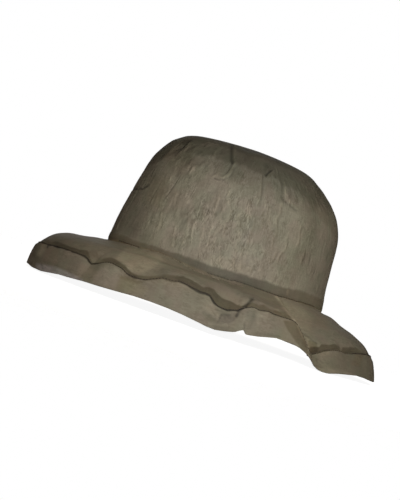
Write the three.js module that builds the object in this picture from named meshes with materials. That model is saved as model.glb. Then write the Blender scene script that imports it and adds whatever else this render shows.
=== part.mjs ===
// A soft cloth beach hat, in millimetres, +Z up, standing on the rim of its brim at Z = 0.
//
// A domed crown is sewn to a sloping brim. Towards its rim the brim turns down in an edge band, and
// the sewn line between them rises and falls in waves. A tape lies inside the foot of the crown and
// another under the outer margin of the brim. The front of the hat looks along +X, and angles run
// counter-clockwise round the head oval from +X.
import * as THREE from "three";

// Driving dimensions.
const HEAD_HALF_LENGTH = 103; // outside of the crown at the seam, along X
const HEAD_HALF_WIDTH = 86; // the same, along Y
const SEAM_HEIGHT = 48; // where crown and brim are sewn together
const BRIM_REACH = 57.5; // from the seam out to the crease, seen from above
const BRIM_BOW = { back: 6.2, front: 3.4 }; // the brim swells this far over a straight slope
const BAND_FLARE = 6.5; // from the crease out to the rim, seen from above
const BAND_SWELL = 0.8;
const CREASE_HEIGHT = 28; // mean height of the crease
const CREASE_SADDLE = 4.6; // the crease is this much lower in front and behind, and higher at the sides
const RIM_HEIGHT = 7;
const RIM_SADDLE = 2.5;
const CLOTH = 1.4; // thickness of the stiffened cloth
const LIP = 1; // the edge band's top stands this far above the brim
const GAP = 0.3; // left between pieces that are sewn together
const TAPE_WIDTH = 8;
const TAPE_THICKNESS = 1;

// Faces round the hat.
const CROWN_COLUMNS = 60;
const BRIM_COLUMNS = 120;
const ROWS_PER_SECTION = 2;

// The crown's profile, as half-lengths behind and in front of its middle at each rise over the seam.
const CROWN_SECTIONS = [
  { rise: -CLOTH, back: 103, front: 103 },
  { rise: 22, back: 100.9, front: 99.8 },
  { rise: 46, back: 96.9, front: 97.9 },
  { rise: 66, back: 92.9, front: 95.7 },
  { rise: 84, back: 88.4, front: 87.9 },
  { rise: 98, back: 81.6, front: 75.0 },
  { rise: 108, back: 70.4, front: 61.2 },
  { rise: 115, back: 52.0, front: 44.0 },
  { rise: 118.9, back: 0, front: 0 },
];

// Hollows pressed into the crown, each a soft oval round one point of the wall.
const CROWN_DENTS = [
  { angle: -172, rise: 96, halfWide: 16, halfTall: 9, depth: 1.4 }, // under the back shoulder
  { angle: -104, rise: 101, halfWide: 9, halfTall: 20, depth: 2.0 }, // hooked crease
  { angle: -66, rise: 93, halfWide: 8, halfTall: 18, depth: 1.6 },
  { angle: -38, rise: 76, halfWide: 10, halfTall: 20, depth: 1.4 },
  { angle: 62, rise: 96, halfWide: 12, halfTall: 18, depth: 2.2 },
  { angle: 118, rise: 88, halfWide: 10, halfTall: 22, depth: 1.8 },
];

// Waves and folds of the brim. Round its angle, each lowers the crease by drop and moves it out by out,
// and rimDrop and rimOut do the same to the rim. It fades over the degrees before and after the angle.
// sharp is 0 for a round wave and 1 for a creased fold. run is the share of the brim's width, counted
// from the crease, that the fold reaches across.
const FOLDS = [
  { angle: 180, before: 60, after: 60, sharp: 0, drop: 0, rimDrop: 0, out: 2, rimOut: -3.5, run: 0.3 },
  { angle: -154, before: 17, after: 25, sharp: 0, drop: 0, rimDrop: 5.9, out: 0, rimOut: 0, run: 0.4 },
  { angle: -129, before: 12, after: 6.5, sharp: 0.7, drop: 7.5, rimDrop: 0, out: -1.5, rimOut: 0, run: 0.4 },
  { angle: -114, before: 11, after: 12, sharp: 0, drop: 8.5, rimDrop: 0.5, out: 1.5, rimOut: 0, run: 0.45 },
  { angle: -86, before: 12, after: 7, sharp: 0, drop: 0, rimDrop: 4, out: 0, rimOut: 1.5, run: 0.4 },
  { angle: -82, before: 15, after: 5, sharp: 0, drop: 8.8, rimDrop: 0, out: 2, rimOut: 0, run: 0.45 },
  { angle: -78, before: 3.5, after: 3.2, sharp: 0.3, drop: 0, rimDrop: -3.4, out: 0, rimOut: -1, run: 0.2 },
  { angle: -68, before: 14, after: 11, sharp: 0, drop: -2, rimDrop: 0, out: -1, rimOut: 0, run: 0.4 },
  { angle: -63, before: 15, after: 12, sharp: 0, drop: 0, rimDrop: -7.2, out: -2.5, rimOut: 0, run: 0.5 },
  { angle: -54, before: 7.5, after: 31, sharp: 0.7, drop: 18.6, rimDrop: 0, out: 5, rimOut: 0, run: 1 },
  { angle: -48, before: 6.5, after: 14, sharp: 0, drop: 0, rimDrop: 8.8, out: 0, rimOut: 3, run: 0.4 },
  { angle: -36, before: 5, after: 5, sharp: 0.5, drop: 1.4, rimDrop: 0, out: 0, rimOut: 0, run: 0.3 },
  { angle: -6, before: 40, after: 50, sharp: 0, drop: 0, rimDrop: 0, out: -1, rimOut: 2.5, run: 0.3 },
  { angle: 21, before: 14, after: 13, sharp: 0.1, drop: 6, rimDrop: 1, out: 2, rimOut: 0, run: 0.5 },
  { angle: 36, before: 17, after: 13, sharp: 0, drop: 0, rimDrop: 7.4, out: 1, rimOut: 2, run: 0.6 },
  { angle: 57, before: 13, after: 9, sharp: 0.6, drop: 11, rimDrop: 0, out: 0, rimOut: 0, run: 0.6 },
  { angle: 78, before: 9, after: 10, sharp: 0, drop: -1, rimDrop: -2.5, out: -2, rimOut: -1, run: 0.4 },
  { angle: 96, before: 13, after: 12, sharp: 0.1, drop: 9, rimDrop: 2, out: 2, rimOut: 1, run: 0.5 },
  { angle: 123, before: 10, after: 6, sharp: 0.7, drop: 8, rimDrop: 0, out: -1.5, rimOut: 0, run: 0.5 },
  { angle: 140, before: 9, after: 11, sharp: 0, drop: 6, rimDrop: 0, out: 1.5, rimOut: 0, run: 0.4 },
  { angle: 151, before: 20, after: 16, sharp: 0, drop: 0, rimDrop: 6.8, out: 0, rimOut: 1, run: 0.4 },
];

const SHARP_POWER = 2.2;
const RADIANS = Math.PI / 180;

// Degrees from one angle to another, the short way round.
const turn = (from, to) => ((((to - from + 180) % 360) + 360) % 360) - 180;
const smooth = (low, high, x) => {
  const t = THREE.MathUtils.clamp((x - low) / (high - low), 0, 1);
  return t * t * (3 - 2 * t);
};

// How strongly a fold acts at an angle: 1 at its middle, 0 from its ends on.
function strength(fold, degrees) {
  const away = turn(fold.angle, degrees);
  const share = Math.abs(away) / (away < 0 ? fold.before : fold.after);
  if (share >= 1) return 0;
  const round = Math.cos((share * Math.PI) / 2) ** 2;
  const cusp = (1 - share) ** SHARP_POWER;
  return round + (cusp - round) * fold.sharp;
}

// What the brim's lines need at one angle: their reach out from the seam and their height.
function brimAt(degrees) {
  const saddle = Math.cos(2 * degrees * RADIANS);
  const forward = 0.5 + 0.5 * Math.cos(degrees * RADIANS); // 1 in front, 0 behind
  const at = {
    creaseReach: BRIM_REACH,
    rimReach: BRIM_REACH + BAND_FLARE,
    creaseHeight: CREASE_HEIGHT - CREASE_SADDLE * saddle,
    rimHeight: RIM_HEIGHT - RIM_SADDLE * saddle,
    bow: THREE.MathUtils.lerp(BRIM_BOW.back, BRIM_BOW.front, forward),
    local: [],
  };
  for (const fold of FOLDS) {
    const k = strength(fold, degrees);
    if (k === 0) continue;
    at.creaseHeight -= k * fold.drop;
    at.creaseReach += k * fold.out;
    at.rimHeight -= k * fold.rimDrop;
    at.rimReach += k * (fold.out + fold.rimOut);
    at.local.push({ drop: k * fold.drop, run: fold.run });
  }
  at.rimHeight = Math.max(0, at.rimHeight); // cloth lies flat where it meets the floor
  return at;
}

// The brim's swelling over a straight slope: nothing at the seam and the crease, most at four fifths.
const swelling = (share) => 2.3 * share ** 1.5 * (1 - share ** 4);

// A fold that runs right across falls evenly from the seam; a short one only bends the margin.
const foldShare = (run, share) => (run >= 1 ? share : smooth(1 - run, 1, share));

// Height of the brim's top face at a share of the way from the seam (0) to the crease (1).
function brimHeight(at, share) {
  const drops = at.local.reduce((sum, f) => sum + f.drop, 0);
  const straight = SEAM_HEIGHT + (at.creaseHeight + drops - SEAM_HEIGHT) * share;
  const folded = at.local.reduce((sum, f) => sum + f.drop * foldShare(f.run, share), 0);
  return straight - folded + at.bow * swelling(share);
}

// A point over the head oval, moved out by reach.
function over(degrees, reach, height) {
  const a = degrees * RADIANS;
  return new THREE.Vector3(
    (HEAD_HALF_LENGTH + reach) * Math.cos(a),
    (HEAD_HALF_WIDTH + reach) * Math.sin(a),
    height,
  );
}

// A Catmull-Rom curve from b (t = 0) to c (t = 1).
function between(a, b, c, d, t) {
  return 0.5 * (2 * b + (c - a) * t + (2 * a - 5 * b + 4 * c - d) * t * t + (3 * b - a - 3 * c + d) * t ** 3);
}

// The crown's profile at a section number, which may lie between two rows of the table.
function crownSection(number) {
  const last = CROWN_SECTIONS.length - 1;
  const i = Math.min(Math.floor(number), last - 1);
  const row = (k) => {
    if (k < 0) return CROWN_SECTIONS[0];
    if (k <= last) return CROWN_SECTIONS[k];
    const before = CROWN_SECTIONS[2 * last - k]; // over the top and down the other side
    return { rise: before.rise, back: -before.back, front: -before.front };
  };
  const four = [row(i - 1), row(i), row(i + 1), row(i + 2)];
  const column = (name) => between(...four.map((section) => section[name]), number - i);
  return { rise: column("rise"), back: column("back"), front: column("front") };
}

// A point of the crown's undented outer face.
function crownFace(degrees, number) {
  const s = crownSection(number);
  const a = degrees * RADIANS;
  const halfLength = Math.cos(a) < 0 ? s.back : s.front;
  const halfWidth = (((s.back + s.front) / 2) * HEAD_HALF_WIDTH) / HEAD_HALF_LENGTH;
  return new THREE.Vector3(halfLength * Math.cos(a), halfWidth * Math.sin(a), SEAM_HEIGHT + s.rise);
}

// A point a given depth inside the crown's face, measured square to it, dents included.
function crownPoint(degrees, number, depth) {
  const step = 0.02; // sections to each side, for the face's slope
  const here = crownFace(degrees, number);
  const along = crownFace(degrees + 1, number).sub(crownFace(degrees - 1, number));
  const up = crownFace(degrees, number + step).sub(crownFace(degrees, number - step));
  const inwards = along.cross(up).normalize().negate();
  const rise = here.z - SEAM_HEIGHT;
  let dent = 0;
  for (const d of CROWN_DENTS) {
    const wide = (turn(d.angle, degrees) * RADIANS * Math.hypot(here.x, here.y)) / d.halfWide;
    const tall = (rise - d.rise) / d.halfTall;
    dent += d.depth * Math.exp(-(wide * wide + tall * tall));
  }
  return here.addScaledVector(inwards, depth + dent);
}

// A closed wall round the hat. front and rear are its two faces as stacks of rings, ring for ring, and
// front is the face on the outside of a stack that climbs. A stack may close over in a peak.
function shell(front, rear, peaks = []) {
  const columns = front[0].length;
  const last = (front.length - 1) * columns;
  const rearStart = last + columns;
  const points = [...front.flat(), ...rear.flat(), ...peaks];
  const frontPeak = 2 * rearStart;
  const faces = [];
  for (let c = 0; c < columns; c++) {
    const d = (c + 1) % columns;
    for (let row = 0; row < last; row += columns) {
      const [p, q, s, t] = [row + c, row + d, row + c + columns, row + d + columns];
      faces.push(p, q, s, q, t, s);
      faces.push(...[p, s, q, q, s, t].map((i) => i + rearStart));
    }
    faces.push(c, c + rearStart, d, d, c + rearStart, d + rearStart);
    const [p, q] = [last + c, last + d];
    if (peaks.length) faces.push(p, q, frontPeak, q + rearStart, p + rearStart, frontPeak + 1);
    else faces.push(p, q, p + rearStart, q, q + rearStart, p + rearStart);
  }
  const geometry = new THREE.BufferGeometry().setFromPoints(points);
  geometry.setIndex(faces);
  geometry.computeVertexNormals();
  return geometry;
}

const ring = (columns, place) => Array.from({ length: columns }, (_, c) => place((c * 360) / columns));

function crown() {
  const sections = CROWN_SECTIONS.length - 1;
  const skin = (depth) =>
    Array.from({ length: sections * ROWS_PER_SECTION }, (_, r) =>
      ring(CROWN_COLUMNS, (degrees) => crownPoint(degrees, r / ROWS_PER_SECTION, depth)),
    );
  const top = SEAM_HEIGHT + CROWN_SECTIONS[sections].rise;
  return shell(skin(0), skin(CLOTH), [new THREE.Vector3(0, 0, top), new THREE.Vector3(0, 0, top - CLOTH)]);
}

// A ribbon inside the crown, standing on the seam.
function headTape() {
  const face = (depth) =>
    [0, TAPE_WIDTH / CROWN_SECTIONS[1].rise].map((number) =>
      ring(CROWN_COLUMNS, (degrees) => crownPoint(degrees, number, depth)),
    );
  return shell(face(CLOTH + GAP), face(CLOTH + GAP + TAPE_THICKNESS));
}

// The part of the brim, seen from above, that ends just inside the edge band.
const brimEnd = (at) => at.creaseReach - CLOTH - GAP;

// A sheet under the brim's top face from one share of its width to the other, sunk by depth.
function brimSheet(shares, depth, thickness) {
  const face = (down) =>
    shares.map((shareOf) =>
      ring(BRIM_COLUMNS, (degrees) => {
        const at = brimAt(degrees);
        const share = shareOf(at);
        const reach = GAP + (brimEnd(at) - GAP) * share;
        return over(degrees, reach, brimHeight(at, share) - down);
      }),
    );
  return shell(face(depth + thickness), face(depth));
}

const whole = () => 1;
const tapeStart = (at) => 1 - TAPE_WIDTH / brimEnd(at);

function brim() {
  const near = [0, 0.35, 0.65].map((share) => () => share);
  return brimSheet([...near, tapeStart, whole], 0, CLOTH);
}

// A ribbon under the brim's margin.
function edgeTape() {
  return brimSheet([tapeStart, whole], CLOTH + GAP, TAPE_THICKNESS);
}

// The turned-down edge, from its lip over the crease to the rim.
function edgeBand() {
  const levels = [0, 0.3, 0.65, 1];
  const face = (depth) =>
    levels.map((level) =>
      ring(BRIM_COLUMNS, (degrees) => {
        const at = brimAt(degrees);
        const top = at.creaseHeight + LIP;
        const swell = BAND_SWELL * Math.sin(level * Math.PI);
        const reach = at.creaseReach + (at.rimReach - at.creaseReach) * level + swell;
        return over(degrees, reach - depth, top + (at.rimHeight - top) * level);
      }),
    );
  return shell(face(CLOTH), face(0));
}

const cloth = new THREE.MeshStandardMaterial({ color: 0x756d5c, roughness: 0.9, metalness: 0 });
const tape = new THREE.MeshStandardMaterial({ color: 0x50493b, roughness: 0.85, metalness: 0 });

const hat = new THREE.Group();
const pieces = [
  { name: "crown", geometry: crown(), material: cloth },
  { name: "head_tape", geometry: headTape(), material: tape },
  { name: "brim", geometry: brim(), material: cloth },
  { name: "edge_tape", geometry: edgeTape(), material: tape },
  { name: "edge_band", geometry: edgeBand(), material: cloth },
];
for (const { name, geometry, material } of pieces) {
  const mesh = new THREE.Mesh(geometry, material);
  mesh.name = name;
  hat.add(mesh);
}

// The origin is the middle of the hat's footprint on the floor.
const middle = new THREE.Box3().setFromObject(hat).getCenter(new THREE.Vector3());
hat.position.set(-middle.x, -middle.y, 0);

export default hat;
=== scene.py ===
# %% [markdown]
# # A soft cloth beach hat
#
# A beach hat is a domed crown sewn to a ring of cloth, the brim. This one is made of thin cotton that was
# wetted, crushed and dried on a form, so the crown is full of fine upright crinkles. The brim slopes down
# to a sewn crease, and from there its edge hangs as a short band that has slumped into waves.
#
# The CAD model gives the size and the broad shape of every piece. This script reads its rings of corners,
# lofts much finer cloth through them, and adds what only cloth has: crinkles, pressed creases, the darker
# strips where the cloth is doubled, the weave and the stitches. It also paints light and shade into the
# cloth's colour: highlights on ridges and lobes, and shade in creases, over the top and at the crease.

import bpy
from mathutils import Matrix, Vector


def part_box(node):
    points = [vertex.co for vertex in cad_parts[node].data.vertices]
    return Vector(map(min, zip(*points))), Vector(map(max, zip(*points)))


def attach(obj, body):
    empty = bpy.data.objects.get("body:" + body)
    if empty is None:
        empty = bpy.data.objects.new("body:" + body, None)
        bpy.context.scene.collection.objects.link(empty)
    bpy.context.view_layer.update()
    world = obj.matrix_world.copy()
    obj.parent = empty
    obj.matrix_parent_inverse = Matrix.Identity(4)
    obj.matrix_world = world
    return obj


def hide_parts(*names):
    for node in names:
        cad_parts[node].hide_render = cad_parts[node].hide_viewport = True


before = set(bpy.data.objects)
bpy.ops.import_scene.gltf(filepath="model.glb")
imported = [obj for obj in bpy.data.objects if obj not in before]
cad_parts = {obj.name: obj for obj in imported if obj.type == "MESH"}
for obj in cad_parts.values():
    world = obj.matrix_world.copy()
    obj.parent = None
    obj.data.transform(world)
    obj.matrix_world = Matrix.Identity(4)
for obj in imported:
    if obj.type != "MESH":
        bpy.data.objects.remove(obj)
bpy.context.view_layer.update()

import math

import bpy
import numpy as np
from mathutils import Matrix, Vector

MM = 0.001  # lengths below are in millimetres until a mesh is made
print("CAD nodes:", sorted(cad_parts))

# %% [markdown]
# ## Where things are on a hat
#
# A hat has no corners to measure from, so a maker works from the head oval: how far round it a point lies,
# and how far out from it. The oval is the outline of the crown's foot. The angle runs counter-clockwise
# from the front of the hat (+X), and the near side of the hat is the half with negative angles.

# %% The head oval
low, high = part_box("crown")
HALF_LENGTH = (high.x - low.x) / 2 / MM
HALF_WIDTH = (high.y - low.y) / 2 / MM
MIDDLE = np.array([(low.x + high.x) / 2, (low.y + high.y) / 2, 0]) / MM
SEAM_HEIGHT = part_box("brim")[1].z / MM
print(f"oval {2 * HALF_LENGTH:.1f} x {2 * HALF_WIDTH:.1f} mm, seam {SEAM_HEIGHT:.1f} mm above the floor")


def oval_place(points):
    """Degrees round the oval and reach out from it, for points measured from the oval's middle."""
    x, y = points[:, 0], points[:, 1]
    near, far = np.full(len(x), -HALF_WIDTH + 1.0), np.full(len(x), 200.0)
    for _ in range(48):  # halve the bracket: an oval moved out by reach either holds the point or not
        reach = (near + far) / 2
        outside = (x / (HALF_LENGTH + reach)) ** 2 + (y / (HALF_WIDTH + reach)) ** 2 > 1
        near, far = np.where(outside, reach, near), np.where(outside, far, reach)
    return np.degrees(np.arctan2(y / (HALF_WIDTH + reach), x / (HALF_LENGTH + reach))), reach


def over(degrees, reach, height):
    """Points over the oval, moved out by reach: the other way round."""
    a = np.radians(degrees)
    x, y = (HALF_LENGTH + reach) * np.cos(a), (HALF_WIDTH + reach) * np.sin(a)
    return np.stack([x, y, height + 0 * x], axis=-1)


# %% [markdown]
# ## Reading the CAD rings
#
# The CAD brim, band and tapes have a corner every three degrees. The mesh that arrives is loose triangles,
# so each corner is there several times and in no order. Keeping each place once and sorting by angle gives
# the rings back. They could be copied as they are, but then the facets would show; as numbers they can
# steer a smooth curve instead.

# %% Corners and rings of a CAD node
COLUMN_STEP = 3.0  # degrees between the CAD corners of the brim
CAD_COLUMNS = round(360 / COLUMN_STEP)


def corners(node):
    """The corners of a CAD node, each once, in millimetres from the oval's middle."""
    co = np.array([v.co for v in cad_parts[node].data.vertices])
    return np.unique(np.round(co, 7), axis=0) / MM - MIDDLE


def rings(node, count, by_height):
    """Reach and height by [column][ring][face]. Rings run outwards, or upwards if by_height."""
    points = corners(node)
    degrees, reach = oval_place(points)
    column = np.round(degrees / COLUMN_STEP).astype(int) % CAD_COLUMNS
    height = points[:, 2]
    first, second = (height, reach) if by_height else (reach, height)
    order = np.lexsort((second, np.round(first, 2), column))
    table = np.stack([reach, height], axis=-1)[order]
    print(f"{node}: {len(points)} corners in {CAD_COLUMNS} columns of {count} rings")
    return table.reshape(CAD_COLUMNS, count, 2, 2)


brim_rings = rings("brim", 5, by_height=False)[:, :, 1]  # the upper face
band_rings = rings("edge_band", 4, by_height=True)[:, :, 1]  # the outer face
tape_rings = rings("edge_tape", 2, by_height=False)

# %% Soften the shelf beside the notch
NOTCH_ANGLES = np.arange(-162, -107, COLUMN_STEP)
NOTCH_COLUMNS = [round(angle / COLUMN_STEP) % CAD_COLUMNS for angle in NOTCH_ANGLES]
SOFTENINGS = 4
for _ in range(SOFTENINGS):
    inner = brim_rings[:, 1:4, 1]
    evened = (np.roll(inner, 1, axis=0) + 2 * inner + np.roll(inner, -1, axis=0)) / 4
    brim_rings[NOTCH_COLUMNS, 1:4, 1] = evened[NOTCH_COLUMNS]
print(f"{len(NOTCH_COLUMNS)} columns evened out between seam and crease")

# %% [markdown]
# ## Smooth curves through the rings
#
# A fold in cloth is sharp on one side and soft on the other, so the curve between two corners must not
# swing past either of them. A Hermite curve does that when its slope is taken as the harmonic mean of the
# steps before and after a corner, and as nothing where those steps point different ways.

# %% Curves round the hat and across it
def columns(near, far):
    """Angles of the columns: more of them on the near half, where the smallest creases are."""
    halves = np.linspace(-180, 0, near, endpoint=False), np.linspace(0, 180, far, endpoint=False)
    return np.concatenate(halves)


CROWN_DEGREES = columns(480, 150)
BRIM_DEGREES = columns(700, 240)


def hermite(a, b, slope_a, slope_b, t):
    """A cubic from a to b with those slopes, for t from 0 to 1."""
    return (
        a * (2 * t**3 - 3 * t**2 + 1)
        + slope_a * (t**3 - 2 * t**2 + t)
        + b * (3 * t**2 - 2 * t**3)
        + slope_b * (t**3 - t**2)
    )


def around(values, degrees=BRIM_DEGREES):
    """Values given at every CAD column, read off at any degrees."""
    step = np.roll(values, -1, axis=0) - values
    before = np.roll(step, 1, axis=0)
    same_way = before * step > 0
    slope = np.where(same_way, 2 * before * step / np.where(same_way, before + step, 1), 0)
    place = np.mod(degrees, 360) / COLUMN_STEP
    i = np.floor(place).astype(int) % CAD_COLUMNS
    j = (i + 1) % CAD_COLUMNS
    t = (place - np.floor(place)).reshape((-1,) + (1,) * (values.ndim - 1))
    return hermite(values[i], values[j], slope[i], slope[j], t)


def across(knots, values, at):
    """Values given at rising knots, read off at other places. All are [ring or row][column]."""
    gap, step = np.diff(knots, axis=0), np.diff(values, axis=0)
    secant = step / gap
    slope = np.empty_like(values)
    slope[1:-1] = (secant[:-1] * gap[1:] + secant[1:] * gap[:-1]) / (gap[1:] + gap[:-1])
    slope[0], slope[-1] = 2 * secant[0] - slope[1], 2 * secant[-1] - slope[-2]
    made = np.empty_like(at)
    for k in range(len(gap)):
        inside = at >= knots[k] - 1e-9
        t = np.clip((at - knots[k]) / gap[k], 0, 1)
        piece = hermite(values[k], values[k + 1], slope[k] * gap[k], slope[k + 1] * gap[k], t)
        made = np.where(inside, piece, made)
    return made


def smooth(start, end, x):
    """0 at start and before it, 1 at end and past it, and a soft step between them."""
    t = np.clip((x - start) / (end - start), 0, 1)
    return t * t * (3 - 2 * t)


def bump(x, width):
    """1 at 0, falling away over width to both sides."""
    return np.exp(-((x / width) ** 2))


def row_shares(*stretches):
    """Shares from 0 to 1, a row each: a stretch is where it ends and how many steps it takes."""
    begins = [0] + [end for end, _ in stretches[:-1]]
    pieces = [np.linspace(a, b, n, endpoint=False) for a, (b, n) in zip(begins, stretches)]
    return np.append(np.concatenate(pieces), 1.0)[:, None]


def every(step, count):
    """Every step-th of that many rows, and the last: enough for the side that isn't seen."""
    return np.append(np.arange(0, count - 1, step), count - 1)


print(f"{len(CROWN_DEGREES)} columns round the crown and {len(BRIM_DEGREES)} round the brim")

# %% [markdown]
# ## From rings to a closed piece of cloth
#
# Every piece is a wall: an outer face, an inner face a thread's thickness behind it, and a turned edge
# that joins them. Both faces are stacks of rings, so one function can close them all. Each corner also
# keeps two things for the material: its place on the flat cloth, so that a pattern can follow the cloth
# and not the space around it, and its tone: the dye and wear that a maker would touch in by hand, and the
# painted highlights and painted shade laid in with them. The tone's fourth number says how crinkled the
# cloth is there.

# %% Outward directions and faces of a stack of rings
def normals(grid):
    """Outward directions of a stack of rings that climbs."""
    along = np.roll(grid, -1, axis=1) - np.roll(grid, 1, axis=1)
    up = np.gradient(grid, axis=0)
    n = np.cross(along, up)
    return n / np.maximum(np.linalg.norm(n, axis=-1, keepdims=True), 1e-9)


def wall_faces(rows, columns, start, turned):
    """Four-sided faces of a stack of rings, turned round if it is the wall's inner side."""
    r, c = np.meshgrid(np.arange(rows - 1), np.arange(columns), indexing="ij")
    d = (c + 1) % columns
    quad = np.stack([r * columns + c, r * columns + d, (r + 1) * columns + d, (r + 1) * columns + c], -1)
    quad = quad.reshape(-1, 4) + start
    return quad[:, ::-1] if turned else quad


# %% Build a wall of cloth
def add_object(name, data):
    """A new object in the scene."""
    made = bpy.data.objects.new(name, data)
    bpy.context.scene.collection.objects.link(made)
    return made


def cloth_wall(name, outer, inner, cloth_place, tone, material, peaks=None, crinkled=None):
    """A closed wall between two stacks of rings. A stack may close over in a peak."""
    columns = outer.shape[1]
    start = outer.shape[0] * columns
    last = start + (inner.shape[0] - 1) * columns
    points = [outer.reshape(-1, 3), inner.reshape(-1, 3)]
    c = np.arange(columns)
    d = (c + 1) % columns
    faces = [
        wall_faces(outer.shape[0], columns, 0, turned=False),
        wall_faces(inner.shape[0], columns, start, turned=True),
        np.stack([d, c, start + c, start + d], -1),
    ]
    top = start - columns
    if peaks is None:
        faces.append(np.stack([top + c, top + d, last + d, last + c], -1))
    else:
        points.append(np.array(peaks))
        outer_peak, inner_peak = last + columns, last + columns + 1
        faces.append(np.stack([top + c, top + d, np.full(columns, outer_peak)], -1))
        faces.append(np.stack([last + d, last + c, np.full(columns, inner_peak)], -1))
    points = (np.concatenate(points) + MIDDLE) * MM
    mesh = bpy.data.meshes.new(name)
    mesh.from_pydata(points.tolist(), [], [f for block in faces for f in block.tolist()])
    mesh.shade_smooth()
    lasting = len(points) - len(cloth_place)  # the inner face has the plain cloth's place and tone
    place = np.concatenate([cloth_place, points[len(cloth_place) :] / MM]) if lasting else cloth_place
    tones = np.concatenate([tone, np.ones((lasting, 3))]) if lasting else tone
    if peaks is not None:
        tones[outer_peak] = tones[top + c].mean(axis=0)
    mesh.attributes.new("cloth_place", "FLOAT_VECTOR", "POINT").data.foreach_set(
        "vector", (place * MM).astype(np.float32).ravel()
    )
    rgba = np.concatenate([tones, np.ones((len(tones), 1))], axis=1)
    if crinkled is not None:
        rgba[: len(crinkled), 3] = crinkled
    mesh.attributes.new("tone", "FLOAT_COLOR", "POINT").data.foreach_set(
        "color", rgba.astype(np.float32).ravel()
    )
    mesh.materials.append(material)
    triangles = sum(len(block) * (block.shape[1] - 2) for block in faces)
    print(f"{name}: {triangles} triangles")
    return add_object(name, mesh)


# %% [markdown]
# ## Materials: one small helper
#
# Colours are picked as sRGB hex values, because that is how a dye card gives them, and turned to the
# linear values that the renderer works in.

# %% Colours and nodes
def linear(hex_colour):
    """An sRGB hex colour as linear RGBA."""
    parts = [int(hex_colour[i : i + 2], 16) / 255 for i in (1, 3, 5)]
    return tuple(c / 12.92 if c <= 0.04045 else ((c + 0.055) / 1.055) ** 2.4 for c in parts) + (1.0,)


def empty_tree(owner):
    """The node tree of a new material or world, emptied."""
    owner.use_nodes = True
    owner.node_tree.nodes.clear()
    return owner.node_tree


def node(tree, kind, settings=None, **inputs):
    """Adds a node: settings are its properties, inputs are values or sockets to link."""
    made = tree.nodes.new(kind)
    for key, value in (settings or {}).items():
        setattr(made, key, value)
    for key, value in inputs.items():
        socket = made.inputs[int(key[1:])] if key[0] == "_" else made.inputs[key.replace("_", " ")]
        if isinstance(value, bpy.types.NodeSocket):
            tree.links.new(value, socket)
        else:
            socket.default_value = value
    return made


# %% [markdown]
# ## The cloth: crushed cotton
#
# Plain-woven cotton with a stiff finish, crushed while wet. It is matt, so it has a high roughness and only
# a weak, broad shine. Four things break up its colour. The dye took unevenly, in soft patches a few
# centimetres wide, and turned a little pinker or greener from place to place. Crinkles stand a few
# millimetres apart; their crests are painted paler, a painted highlight that follows the bump, and their
# hollows darker, as painted shade. The weave shows as a faint grid: the real threads are 0.4 mm apart, too
# fine to see from where one sees a whole hat, so they are drawn 1.2 mm apart.

# %% Crushed cotton
THREAD_SPACING = 1.2
FLOAT_LENGTH = 6 * THREAD_SPACING  # how far a thread can be followed before it dives under another
FLOCK = (11.0, 16.0)  # width and height of a flock of crinkles
PATCH_SIZE = 24.0
HUE_SIZE = 15.0
PINKER = (1.02, 0.987, 0.995, 1)
GREENER = (0.968, 1.002, 0.975, 1)


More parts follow.
